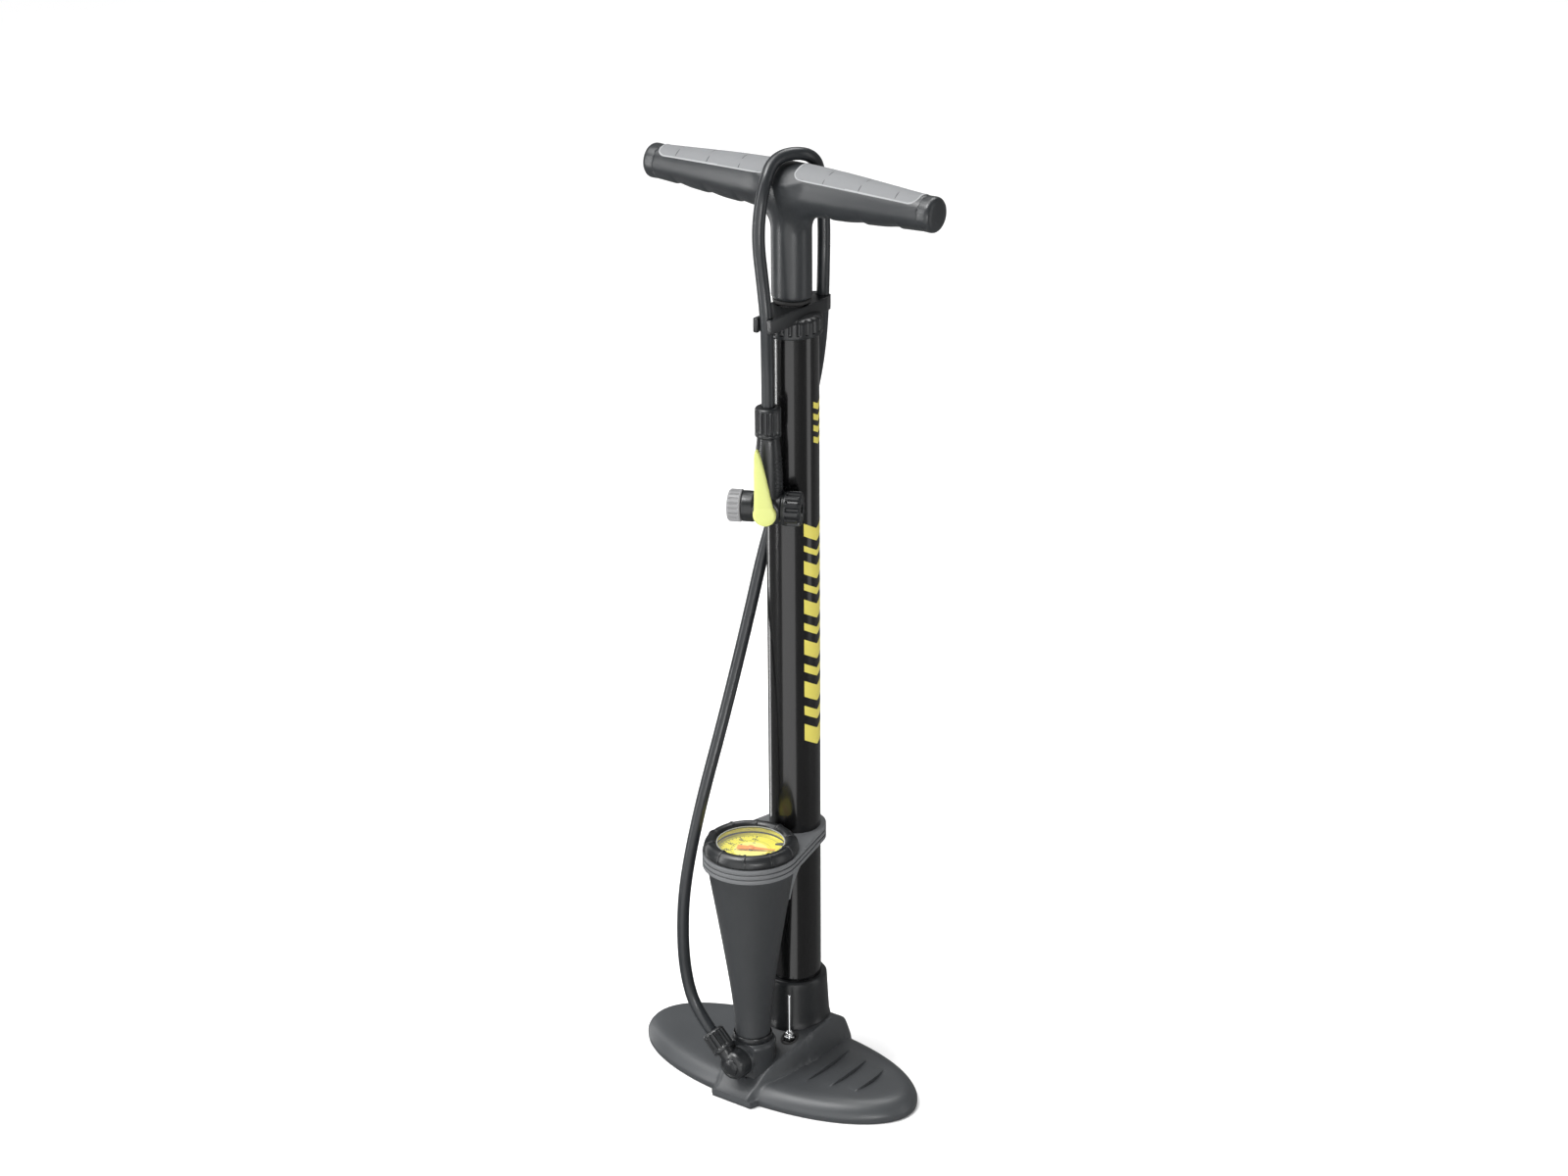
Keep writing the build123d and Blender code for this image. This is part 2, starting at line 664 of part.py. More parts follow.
with BuildPart() as top_bumper:
    with BuildSketch(Plane.XY.offset(575)):
        Circle(17.3)
        Circle(ROD_R + 0.8, mode=Mode.SUBTRACT)
    extrude(amount=6.9)
keep(top_bumper, "top_bumper")

with BuildPart() as stem_bumper:
    with BuildSketch(Plane.XY.offset(600.3)):
        Circle(13.5)
        Circle(ROD_R + 0.6, mode=Mode.SUBTRACT)
    extrude(amount=2.2)
keep(stem_bumper, "stem_bumper")

DOCK_PLAN = (
    (12.0, -41.5), (13.5, 23.0), (10.2, 32.5), (-2.0, 32.5), (-12.5, 22.0), (-12.5, -14.0),
    (-2.2, -33.0), (-2.2, -43.0), (1.8, -43.0), (1.8, -41.5),
)
with BuildPart() as hose_dock:
    with BuildSketch(Plane.XY.offset(587.5)):
        with BuildLine():
            Polyline(*DOCK_PLAN, close=True)
        make_face()
    extrude(amount=DOCK_Z[1] - 587.5)
    with BuildSketch(Plane.XY.offset(580)):
        Circle(CAP_R + 0.3)
    extrude(amount=DOCK_Z[0] - 580, mode=Mode.SUBTRACT)
    with BuildSketch(Plane.XY.offset(580)):
        Circle(11.6)
    extrude(amount=25, mode=Mode.SUBTRACT)
    for clip, way in ((CLIP_FRONT, -1), (CLIP_BACK, 1)):
        with BuildSketch(Plane((*clip, 580))):
            Circle(HOSE_R + 0.3)
            with Locations((0, way * 6)):
                Rectangle(7.4, 12)
        extrude(amount=25, mode=Mode.SUBTRACT)
keep(hose_dock, "hose_dock")

# ---------------------------------------------------------------- plunger
with BuildPart() as piston_rod:
    with BuildSketch(Plane.XY.offset(52)):
        Circle(ROD_R)
        Circle(3.5, mode=Mode.SUBTRACT)
    extrude(amount=603)
keep(piston_rod, "piston_rod")

with BuildPart() as piston:
    with BuildSketch(Plane.XZ):
        with BuildLine():
            Polyline(
                (ROD_R + SLIP, 53), (16.4, 53), (17.3, 54), (17.3, 59.9), (14.9, 59.9), (14.9, 63.1),
                (17.3, 63.1), (17.3, 66), (12, 69), (ROD_R + SLIP, 69), close=True,
            )
        make_face()
    revolve(axis=Axis.Z)
keep(piston, "piston")

with BuildPart() as piston_seal:
    with BuildSketch(Plane.XY.offset(60)):
        Circle(BORE_R - 0.06)
        Circle(15, mode=Mode.SUBTRACT)
    extrude(amount=3)
keep(piston_seal, "piston_seal")

with BuildPart() as piston_bolt:
    with BuildSketch(Plane.XY.offset(48.6)):
        RegularPolygon(6.4, 6)
    extrude(amount=3.3)
    with BuildSketch(Plane.XY.offset(51.9)):
        Circle(3.45)
    extrude(amount=16)
keep(piston_bolt, "piston_bolt")

BAR_AXIS = Axis((0, 0, HANDLE_Z), (-1, 0, 0))
BAR_SHAPE = ((0, BAR_R), (30, 17.1), (60, 15.6), (88, 13.6), (BAR_HALF, BAR_END_R))
SCALLOP_X, SCALLOP_R, SCALLOP_D = (37.0, 65.0, 93.0), 20.0, 1.1
INLAY_X, INLAY_ANGLE = (10.0, 109.5), 57.0


def bar_radius(x):
    """Radius of the handle's bar at a distance from its middle."""
    for (x0, r0), (x1, r1) in zip(BAR_SHAPE, BAR_SHAPE[1:]):
        if x <= x1:
            return r0 + (r1 - r0) * (x - x0) / (x1 - x0)
    return BAR_END_R


def inlay(side, play):
    """Soft inlay on top of one half of the bar; play shrinks it inside its pocket."""
    lean = radians(INLAY_ANGLE - 40 * play)
    start = Plane(
        origin=(0, 0, HANDLE_Z), x_dir=(1, 0, 0), z_dir=(0, -cos(lean), -sin(lean))
    )
    low, high = INLAY_X[0] + 2 * play, INLAY_X[1] - 2 * play
    steps = (low, 30, 60, 88, high)
    with BuildPart() as shell:
        with BuildSketch(start):
            with BuildLine():
                Polyline(
                    *((side * x, bar_radius(x) - 1.6 + play) for x in steps),
                    *((side * x, bar_radius(x) + 0.2) for x in reversed(steps)), close=True,
                )
            make_face()
        revolve(axis=BAR_AXIS, revolution_arc=2 * (INLAY_ANGLE - 40 * play))
    return shell


grip_pockets = [inlay(side, 0.0) for side in (-1, 1)]
grip_inlay_left, grip_inlay_right = (inlay(side, SLIP) for side in (-1, 1))
keep(grip_inlay_left, "grip_inlay_left")
keep(grip_inlay_right, "grip_inlay_right")

with BuildPart() as handle_core:
    with BuildSketch(Plane.XZ):
        with BuildLine():
            Polyline(
                (-BAR_HALF, HANDLE_Z), *((-x, HANDLE_Z + r) for x, r in reversed(BAR_SHAPE)),
                *((x, HANDLE_Z + r) for x, r in BAR_SHAPE[1:]), (BAR_HALF, HANDLE_Z), close=True,
            )
        make_face()
    revolve(axis=BAR_AXIS)
    with BuildSketch(Plane.XY.offset(STEM_Z)):
        Circle(STEM_R)
    extrude(amount=HANDLE_Z - STEM_Z)
    joint = handle_core.edges().filter_by(
        lambda e: e.center().Z < HANDLE_Z and e.geom_type not in (GeomType.LINE, GeomType.CIRCLE)
    )
    fillet(joint, 7.0)
    for pocket in grip_pockets:
        add(pocket.part, mode=Mode.SUBTRACT)
    for side in (-1, 1):
        for x in SCALLOP_X:
            depth = bar_radius(x) + SCALLOP_R - SCALLOP_D
            with BuildSketch(Plane.XZ.offset(-30)):
                with Locations((side * x, HANDLE_Z - depth)):
                    Circle(SCALLOP_R)
            extrude(amount=60, mode=Mode.SUBTRACT)
    with BuildSketch(Plane.XY.offset(STEM_Z - 1)):
        Circle(ROD_R + SLIP)
    extrude(amount=54, mode=Mode.SUBTRACT)
    with BuildSketch(Plane.XY.offset(STEM_Z)):
        Circle(3.1)
    extrude(amount=84, mode=Mode.SUBTRACT)
    with BuildSketch(Plane.XY.offset(686)):
        Circle(5.6)
    extrude(amount=20, mode=Mode.SUBTRACT)
keep(handle_core, "handle_core")

with BuildPart() as handle_bolt:
    with BuildSketch(Plane.XY.offset(638)):
        Circle(3.0)
    extrude(amount=48.1)
    with BuildSketch(Plane.XY.offset(686.1)):
        Circle(5.0)
        RegularPolygon(2.6, 6, mode=Mode.SUBTRACT)
    extrude(amount=5)
keep(handle_bolt, "handle_bolt")


def end_cap(side):
    """Rounded cap on one end of the handle's bar."""
    with BuildPart() as cap:
        with BuildSketch(Plane.XZ):
            with BuildLine():
                x0, x1 = side * (BAR_HALF + 0.1), side * (BAR_HALF + CAP_LEN)
                Polyline((x1, HANDLE_Z), (x0, HANDLE_Z), (x0, HANDLE_Z + 12.4),
                         (x1 - side * 3.4, HANDLE_Z + 12.2))
                Spline((x1 - side * 3.4, HANDLE_Z + 12.2), (x1 - side * 1.2, HANDLE_Z + 9.8),
                       (x1, HANDLE_Z), tangents=((side, -0.15), (0, -1)))
            make_face()
        revolve(axis=BAR_AXIS)
    return cap


end_cap_left, end_cap_right = (end_cap(side) for side in (-1, 1))
keep(end_cap_left, "end_cap_left")
keep(end_cap_right, "end_cap_right")

# ---------------------------------------------------------------- hose head
port_dir = tilted(HEAD_TURN)
front_dir = tilted(HEAD_TURN - 90)
PORT = Plane(origin=HEAD_AT, x_dir=(0, 0, 1), z_dir=port_dir)
STEM = Plane(origin=HEAD_AT, x_dir=port_dir, z_dir=(0, 0, 1))
FRONT = Plane(origin=HEAD_AT, x_dir=port_dir, z_dir=front_dir)


with BuildPart() as head_body:
    with BuildSketch(PORT.offset(-20.0)):
        Circle(11)
    extrude(amount=30.0)
    with BuildSketch(PORT.offset(-25.3)):
        Circle(9.4)
    extrude(amount=47.3)
    with BuildSketch(FRONT.offset(-12)):
        Circle(10)
    extrude(amount=24.9)
    with BuildSketch(STEM.offset(6)):
        Circle(9.8)
    with BuildSketch(STEM.offset(HEAD_NUT[0] + 0.1)):
        Circle(7.6)
    loft()
    with BuildSketch(STEM.offset(HEAD_NUT[0])):
        Circle(6.5)
    extrude(amount=13)
    with BuildSketch(STEM.offset(HEAD_NUT[0] + 13)):
        Circle(2.6)
    extrude(amount=8.6)
    with BuildSketch(PORT.offset(-26)):
        Circle(8)
    extrude(amount=50, mode=Mode.SUBTRACT)
    with BuildSketch(FRONT):
        Circle(5.4)
    extrude(amount=8.3, mode=Mode.SUBTRACT)
    with BuildSketch(FRONT):
        Circle(4.0 + SLIP)
    extrude(amount=14, mode=Mode.SUBTRACT)
    with BuildSketch(STEM):
        Circle(1.5)
    extrude(amount=80, mode=Mode.SUBTRACT)
keep(head_body, "head_body")

with BuildPart() as head_nut:
    with BuildSketch(STEM.offset(HEAD_NUT[0] + 0.2)):
        ribbed(9.3, 18, 0.7)
    extrude(amount=HEAD_NUT[1] - HEAD_NUT[0] - 2.4)
    with BuildSketch(STEM.offset(HEAD_NUT[1] - 2.2)):
        Circle(8.9)
    extrude(amount=2.2, taper=35)
    with BuildSketch(STEM.offset(HEAD_NUT[0])):
        Circle(6.55)
    extrude(amount=13.2, mode=Mode.SUBTRACT)
    with BuildSketch(STEM.offset(HEAD_NUT[0] + 13)):
        Circle(2.7)
    extrude(amount=20, mode=Mode.SUBTRACT)
keep(head_nut, "head_nut")

with BuildPart() as presta_gasket:
    with BuildSketch(PORT.offset(-25.2)):
        Circle(7.95)
        Circle(3.1, mode=Mode.SUBTRACT)
    extrude(amount=12.6)
keep(presta_gasket, "presta_gasket")

with BuildPart() as schrader_gasket:
    with BuildSketch(PORT.offset(12.6)):
        Circle(7.95)
        Circle(4.1, mode=Mode.SUBTRACT)
    extrude(amount=9.3)
keep(schrader_gasket, "schrader_gasket")

with BuildPart() as presta_cap:
    with BuildSketch(PORT.offset(-28.0)):
        ribbed(12.1, 24, 0.6)
    extrude(amount=7.8)
    with BuildSketch(PORT.offset(-28.2)):
        Circle(9.45)
    extrude(amount=9.2, mode=Mode.SUBTRACT)
    with BuildSketch(PORT.offset(-28.6)):
        Circle(11.3)
        Circle(4.2, mode=Mode.SUBTRACT)
    extrude(amount=3.2)
keep(presta_cap, "presta_cap")

with BuildPart() as schrader_cap:
    with BuildSketch(PORT.offset(10.2)):
        ribbed(12.5, 12, 0.9)
    extrude(amount=12.4)
    with BuildSketch(PORT.offset(10.0)):
        Circle(9.45)
    extrude(amount=14, mode=Mode.SUBTRACT)
    with BuildSketch(PORT.offset(22.1)):
        Circle(11.6)
        Circle(5.0, mode=Mode.SUBTRACT)
    extrude(amount=1.7)
keep(schrader_cap, "schrader_cap")

with BuildPart() as head_shuttle:
    with BuildSketch(PORT.offset(-9.5)):
        Circle(7.94)
    extrude(amount=19)
    with BuildSketch(FRONT.offset(4.4)):
        Rectangle(30, 30)
    extrude(amount=6, mode=Mode.SUBTRACT)
    with BuildSketch(PORT.offset(-12)):
        Circle(1.4)
    extrude(amount=24, mode=Mode.SUBTRACT)
keep(head_shuttle, "head_shuttle")

with BuildPart() as lever_spindle:
    with BuildSketch(FRONT.offset(4.8)):
        with Locations((0, 0.9)):
            Circle(4.0)
    extrude(amount=3.1)
    with BuildSketch(FRONT.offset(7.8)):
        Circle(4.0)
    extrude(amount=8.4)
keep(lever_spindle, "lever_spindle")

with BuildPart() as head_lever:
    with BuildSketch(FRONT.offset(13.3)):
        Circle(8.4)
        Polygon((-7.9, 3), (7.4, 4), (4.6, 12), (-1.8, 46.5), (-4.0, 48.3), (-6.3, 47.0), align=None)
    extrude(amount=4.8)
    with BuildSketch(FRONT.offset(13)):
        Circle(4.0 + SLIP)
    extrude(amount=3.3, mode=Mode.SUBTRACT)
keep(head_lever, "head_lever")

# ---------------------------------------------------------------- hose
HEAD_TOP = HEAD_AT[2] + HEAD_NUT[1]
HOSE_ROUTE = (
    (-NUT_END * cos(tilt), SWIVEL_Y, SWIVEL_Z + NUT_END * sin(tilt)),
    (-35.3, SWIVEL_Y, 65.3),
    (-42.8, -78.0, 88.0),
    (-44.5, -80.0, 120.0),
    (-43.0, -79.0, 165.0),
    (-36.0, -68.0, 226.0),
    (-31.0, -44.0, 290.0),
    (-30.0, -16.0, 355.0),
    (-29.5, 8.0, 415.0),
    (-19.0, 24.0, 468.0),
    (-6.0, 31.0, 518.0),
    (3.8, 30.2, 566.0),
    (8.6, 26.0, 622.0),
    (6.2, 30.0, 651.0),
    (3.1, 31.0, 680.0),
    (9.5, 13.0, 704.2),
    (-5.3, -12.0, 705.4),
    (-2.2, -30.0, 686.0),
    (-4.5, -33.5, 653.7),
    (2.7, -37.0, 620.4),
    (6.2, -38.0, 596.3),
    (4.0, -34.6, 568.0),
    (HEAD_AT[0], HEAD_AT[1], HEAD_TOP + 14.0),
    (HEAD_AT[0], HEAD_AT[1], HEAD_TOP),
)


def corner_radii(route):
    """Arc at each corner: 0.45 of the shorter run over the tangent of half the turn."""
    points = [Vector(*p) for p in route]
    radii = []
    for before, corner, after in zip(points, points[1:], points[2:]):
        entry, leave = corner - before, after - corner
        half_turn = radians(entry.get_angle(leave)) / 2
        radii.append(0.45 * min(entry.length, leave.length) / tan(half_turn))
    return radii


hose_radii = corner_radii(HOSE_ROUTE)
with BuildPart() as hose:
    with BuildLine() as hose_line:
        FilletPolyline(*HOSE_ROUTE, radius=hose_radii)
    path = hose_line.wire()
    with BuildSketch(Plane(origin=path @ 0, z_dir=path % 0)):
        Circle(HOSE_R)
    sweep(path=path)
keep(hose, "hose")
print("hose arcs, in diameters:", [round(r / (2 * HOSE_R), 1) for r in hose_radii])
print("hose length", round(path.length, 1), "volume over section times length",
      round(hose.part.volume / (pi * HOSE_R**2 * path.length), 4))
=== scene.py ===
from math import atan2, cos, hypot, pi, radians, sin, sqrt, tau

import bmesh
import bpy
import numpy as np
from mathutils import Matrix, Vector


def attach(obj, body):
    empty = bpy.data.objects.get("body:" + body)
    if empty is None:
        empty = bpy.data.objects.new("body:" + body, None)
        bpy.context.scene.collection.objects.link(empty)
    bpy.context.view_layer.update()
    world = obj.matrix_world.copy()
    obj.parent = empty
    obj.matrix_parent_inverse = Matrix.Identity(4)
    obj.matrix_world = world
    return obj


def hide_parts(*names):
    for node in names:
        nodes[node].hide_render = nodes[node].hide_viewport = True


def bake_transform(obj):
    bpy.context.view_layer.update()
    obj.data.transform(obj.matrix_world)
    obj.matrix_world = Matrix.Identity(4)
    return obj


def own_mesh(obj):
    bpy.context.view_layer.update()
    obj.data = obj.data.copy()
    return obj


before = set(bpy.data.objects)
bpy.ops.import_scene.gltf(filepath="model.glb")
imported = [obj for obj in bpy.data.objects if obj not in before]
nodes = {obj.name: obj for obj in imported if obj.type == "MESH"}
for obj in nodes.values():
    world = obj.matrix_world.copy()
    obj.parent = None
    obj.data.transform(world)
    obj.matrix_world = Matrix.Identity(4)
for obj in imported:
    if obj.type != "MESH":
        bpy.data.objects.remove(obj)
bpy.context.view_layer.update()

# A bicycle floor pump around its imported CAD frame. Lengths in this file are millimetres unless a
# name says otherwise; the CAD frame has its origin on the floor on the barrel's axis, +Z up.
MM = 0.001
scene = bpy.context.scene

# ---------------- camera
AZIMUTH, ELEVATION, ROLL = radians(36.05), radians(22.63), radians(-0.34)
right = Vector((cos(AZIMUTH), sin(AZIMUTH), 0))
back = Vector((sin(AZIMUTH) * cos(ELEVATION), -cos(AZIMUTH) * cos(ELEVATION), sin(ELEVATION)))
up = back.cross(right)
cam_x = right * cos(ROLL) + up * sin(ROLL)
cam_y = up * cos(ROLL) - right * sin(ROLL)
camera_data = bpy.data.cameras.new("camera")
camera_data.lens = 80.36
camera_data.sensor_width = 36.0
camera_data.shift_x = -0.0062
camera_data.clip_start, camera_data.clip_end = 0.05, 60.0
camera = bpy.data.objects.new("camera", camera_data)
turn = Matrix((cam_x, cam_y, back)).transposed().to_4x4()
camera.matrix_world = Matrix.Translation((1.3602, -1.8685, 1.3479)) @ turn
scene.collection.objects.link(camera)
scene.camera = camera


# ---------------- procedural materials
def surface(name, color, rough=0.45, grain=0.12, grain_mm=0.6, mottle=0.10, mottle_mm=18.0,
            rough_var=0.08, metallic=0.0, coat=0.0, specular=0.5, sheen=0.0, alpha=1.0):
    """Principled material whose colour, roughness and bump vary by noise in object space."""
    material = bpy.data.materials.new(name)
    material.use_nodes = True
    tree = material.node_tree
    shader = tree.nodes["Principled BSDF"]
    shader.inputs["Metallic"].default_value = metallic
    shader.inputs["Coat Weight"].default_value = coat
    shader.inputs["Coat Roughness"].default_value = 0.08
    shader.inputs["Specular IOR Level"].default_value = specular
    shader.inputs["Sheen Weight"].default_value = sheen
    shader.inputs["Alpha"].default_value = alpha
    place = tree.nodes.new("ShaderNodeTexCoord")

    def noise(size_mm, detail):
        node = tree.nodes.new("ShaderNodeTexNoise")
        node.inputs["Scale"].default_value = 1.0 / (size_mm * MM)
        node.inputs["Detail"].default_value = detail
        tree.links.new(place.outputs["Object"], node.inputs["Vector"])
        return node

    def spread(source, low, high):
        node = tree.nodes.new("ShaderNodeMapRange")
        node.inputs["To Min"].default_value = low
        node.inputs["To Max"].default_value = high
        tree.links.new(source, node.inputs["Value"])
        return node.outputs["Result"]

    broad, fine = noise(mottle_mm, 3.0), noise(grain_mm, 2.0)
    tint = tree.nodes.new("ShaderNodeMix")
    tint.data_type = "RGBA"
    tint.inputs["A"].default_value = (*(c * (1 - mottle) for c in color), 1)
    tint.inputs["B"].default_value = (*(min(c * (1 + mottle), 1) for c in color), 1)
    tree.links.new(broad.outputs["Fac"], tint.inputs["Factor"])
    tree.links.new(tint.outputs["Result"], shader.inputs["Base Color"])
    tree.links.new(spread(broad.outputs["Fac"], rough - rough_var, rough + rough_var),
                   shader.inputs["Roughness"])
    bump = tree.nodes.new("ShaderNodeBump")
    bump.inputs["Strength"].default_value = grain
    bump.inputs["Distance"].default_value = 0.15 * MM
    tree.links.new(fine.outputs["Fac"], bump.inputs["Height"])
    tree.links.new(bump.outputs["Normal"], shader.inputs["Normal"])
    return material


# Colour, roughness, then grain and mottle, each with its size in mm.
BASE_GREY = surface("base_plastic", (0.041, 0.044, 0.047), 0.40, 0.26, 0.55, 0.06, 25.0)
COLUMN_GREY = surface("column_plastic", (0.022, 0.024, 0.026), 0.50, 0.20, 0.5, 0.05, 20.0)
CORE_GREY = surface("handle_plastic", (0.018, 0.020, 0.022), 0.34, 0.16, 0.55, 0.06, 14.0)
MANIFOLD_GREY = surface("manifold_plastic", (0.026, 0.028, 0.030), 0.36, 0.15, 0.5, 0.08, 14.0)
BLACK = surface("black_plastic", (0.010, 0.011, 0.012), 0.31, 0.10, 0.5, 0.10, 12.0)
LIGHT = surface("bracket_plastic", (0.105, 0.109, 0.113), 0.48, 0.20, 0.5, 0.05, 15.0)
INLAY = surface("grip_rubber", (0.150, 0.155, 0.160), 0.62, 0.45, 0.7, 0.07, 9.0, sheen=0.1)
# Lighter grey for the inlay's raised rim: a painted highlight.
INLAY_RIM_HIGHLIGHT = surface("grip_rim_highlight", (0.27, 0.275, 0.28), 0.55, 0.2, 0.7, 0.05, 9.0)
PALE_CAP = surface("pale_plastic", (0.20, 0.20, 0.205), 0.45, 0.20, 0.5, 0.06, 6.0)
HOSE = surface("hose_rubber", (0.014, 0.016, 0.018), 0.31, 0.14, 0.9, 0.10, 16.0)
RUBBER = surface("soft_rubber", (0.012, 0.012, 0.012), 0.65, 0.35, 0.5, 0.15, 8.0)
LACQUER = surface("barrel_lacquer", (0.003, 0.003, 0.0032), 0.19, 0.025, 1.6, 0.10, 30.0,
                  rough_var=0.03, coat=0.35)
YELLOW = surface("lever_yellow", (0.46, 0.49, 0.15), 0.36, 0.10, 0.6, 0.04, 10.0)
PRINT_YELLOW = surface("print_yellow", (0.56, 0.49, 0.075), 0.35, 0.06, 0.9, 0.05, 14.0, coat=0.2)
ORANGE = surface("needle_orange", (0.88, 0.27, 0.03), 0.35, 0.08, 0.5, 0.05, 6.0)
DIAL = surface("dial_face", (0.84, 0.76, 0.03), 0.40, 0.05, 0.5, 0.03, 12.0)
DIAL_PALE = surface("dial_middle", (0.86, 0.81, 0.20), 0.40, 0.05, 0.5, 0.03, 12.0)
# Pale grey for a thin ring at the bezel's inner lip: a painted highlight.
LIP_HIGHLIGHT_GREY = surface("lens_lip_highlight", (0.42, 0.43, 0.40), 0.40, 0.05, 0.5, 0.03, 12.0)
INK = surface("dial_ink", (0.015, 0.015, 0.015), 0.50, 0.05, 0.5, 0.05, 6.0)
CHROME = surface("chrome", (0.82, 0.83, 0.84), 0.10, 0.04, 0.4, 0.03, 6.0, 0.04, metallic=1.0)
STEEL = surface("steel", (0.55, 0.55, 0.56), 0.28, 0.10, 0.3, 0.06, 6.0, metallic=1.0)
BRASS = surface("brass", (0.74, 0.56, 0.25), 0.32, 0.12, 0.3, 0.07, 5.0, metallic=1.0)
LENS = surface("lens", (0.92, 0.94, 0.95), 0.06, 0.02, 4.0, 0.01, 12.0, 0.02, alpha=0.06)


# ---------------- mesh helpers
def piece(name, verts, faces, body, material, slot, stands_for=(), extra=(), face_mats=None,
          sharp=38.0, place=None):
    """A mesh object in the CAD frame from points in mm, riding on a body if one is named."""
    mesh = bpy.data.meshes.new(name)
    mesh.from_pydata([tuple(float(c) * MM for c in v) for v in verts], [], faces)
    if face_mats is not None:
        mesh.polygons.foreach_set("material_index", face_mats)
    work = bmesh.new()
    work.from_mesh(mesh)
    bmesh.ops.remove_doubles(work, verts=work.verts, dist=1e-6)
    bmesh.ops.recalc_face_normals(work, faces=work.faces)
    work.to_mesh(mesh)
    work.free()
    if place is not None:
        shift = place.copy()
        shift.translation = place.translation * MM
        mesh.transform(shift)
    mesh.polygons.foreach_set("use_smooth", [True] * len(mesh.polygons))
    mesh.set_sharp_from_angle(angle=radians(sharp))
    for one in (material, *extra):
        mesh.materials.append(one)
    made = bpy.data.objects.new(name, mesh)
    scene.collection.objects.link(made)
    if body:
        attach(made, body)
    if stands_for:
        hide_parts(*stands_for)
    return made


def mesh_of(curve):
    """The mesh that a curve or a text makes."""
    holder = bpy.data.objects.new(curve.name, curve)
    mesh = bpy.data.meshes.new_from_object(holder)
    bpy.data.objects.remove(holder)
    return mesh


def axes(origin, z_dir, x_dir=(1, 0, 0)):
    """Placement matrix with its origin in mm, from a Z and a rough X direction."""
    z = Vector(z_dir).normalized()
    y = z.cross(Vector(x_dir)).normalized()
    x = y.cross(z)
    spun = Matrix((x, y, z)).transposed().to_4x4()
    return Matrix.Translation(origin) @ spun


def grid_faces(rows, columns, wrap=True):
    """Quads between successive rows of points."""
    last = columns if wrap else columns - 1
    return [
        (i * columns + j, i * columns + (j + 1) % columns,
         (i + 1) * columns + (j + 1) % columns, (i + 1) * columns + j)
        for i in range(rows - 1) for j in range(last)
    ]


def lathe(profile, steps=96, shape=None):
    """Points and quads of a profile of (radius, height) turned round Z. shape(angle, radius,
    height) gives the radius there."""
    verts = []
    for r, z in profile:
        for k in range(steps):
            a = tau * k / steps
            here = shape(a, r, z) if shape else r
            verts.append((here * cos(a), here * sin(a), z))
    return verts, grid_faces(len(profile), steps)


def join(*parts):
    """Several (points, faces) as one."""
    verts, faces = [], []
    for v, f in parts:
        faces += [tuple(i + len(verts) for i in face) for face in f]
        verts += list(v)
    return verts, faces


def moved(part, matrix):
    """A (points, faces) part put through a matrix."""
    verts, faces = part
    return [tuple(matrix @ Vector(v)) for v in verts], faces


def rounded(corners, radius=0.6, steps=4):
    """A profile with its corners rounded, all but its two ends."""
    points = [corners[0]]
    for before, corner, after in zip(corners, corners[1:], corners[2:]):
        b, c, a = (Vector(p) for p in (before, corner, after))
        cut = min(radius, 0.45 * (c - b).length, 0.45 * (a - c).length)
        start, end = c + (b - c).normalized() * cut, c + (a - c).normalized() * cut
        for k in range(steps + 1):
            t = k / steps
            points.append(tuple(start * (1 - t) ** 2 + c * 2 * t * (1 - t) + end * t * t))
    return points + [corners[-1]]


def smooth(x, low, high):
    """0 below low, 1 above high, and a smooth step between."""
    t = np.clip((x - low) / (high - low), 0, 1)
    return t * t * (3 - 2 * t)


def slab(outline, low, high, edge=0.8, steps=3):
    """A flat plate with rounded rims from a closed outline, between two heights."""
    count = len(outline)
    middle = np.array(outline, float)
    before, after = np.roll(middle, 1, 0), np.roll(middle, -1, 0)
    along = after - before
    along /= np.linalg.norm(along, axis=1)[:, None]
    inward = np.stack([-along[:, 1], along[:, 0]], 1)
    levels = [(edge * (1 - sin(pi / 2 * k / steps)), low + edge * (1 - cos(pi / 2 * k / steps)))
              for k in range(steps + 1)]
    levels += [(inset, high + low - z) for inset, z in reversed(levels)]
    verts = [(*(middle[j] + inward[j] * inset), z) for inset, z in levels for j in range(count)]
    faces = grid_faces(len(levels), count)
    faces.append(tuple(reversed(range(count))))
    faces.append(tuple(range((len(levels) - 1) * count, len(levels) * count)))
    return verts, faces


# ---------------- hose
NUT_REACH, SWIVEL_AT, HEAD_AT = 30.0, Vector((0, -77.0, 30.0)), Vector((3.8, -34.1, 458.2))
LEAN = radians(45)
HEAD_TOP = HEAD_AT.z + 74.8
HOSE_R = 4.5
# The hose's control points in metres, from the swivel's nut to the head's.
ROUTE_M = (
    (-0.03 * cos(LEAN), -0.0770, 0.030 + 0.03 * sin(LEAN)), (-0.0353, -0.0770, 0.0653),
    (-0.0428, -0.0780, 0.0880), (-0.0445, -0.0800, 0.1200), (-0.0430, -0.0790, 0.1650),
    (-0.0360, -0.0680, 0.2260), (-0.0310, -0.0440, 0.2900), (-0.0300, -0.0160, 0.3550),
    (-0.0295, 0.0080, 0.4150), (-0.0190, 0.0240, 0.4680), (-0.0060, 0.0310, 0.5180),
    (0.0038, 0.0302, 0.5660), (0.0086, 0.0260, 0.6220), (0.0062, 0.0300, 0.6510),
    (0.0031, 0.0310, 0.6800), (0.0095, 0.0130, 0.7042), (-0.0053, -0.0120, 0.7054),
    (-0.0022, -0.0300, 0.6860), (-0.0045, -0.0335, 0.6537), (0.0027, -0.0370, 0.6204),
    (0.0062, -0.0380, 0.5963), (0.0040, -0.0346, 0.5680),
    (0.0038, -0.0341, HEAD_TOP * MM + 0.0140), (0.0038, -0.0341, HEAD_TOP * MM),
)
line = bpy.data.curves.new("hose_line", "CURVE")
line.dimensions = "3D"
line.resolution_u = 16
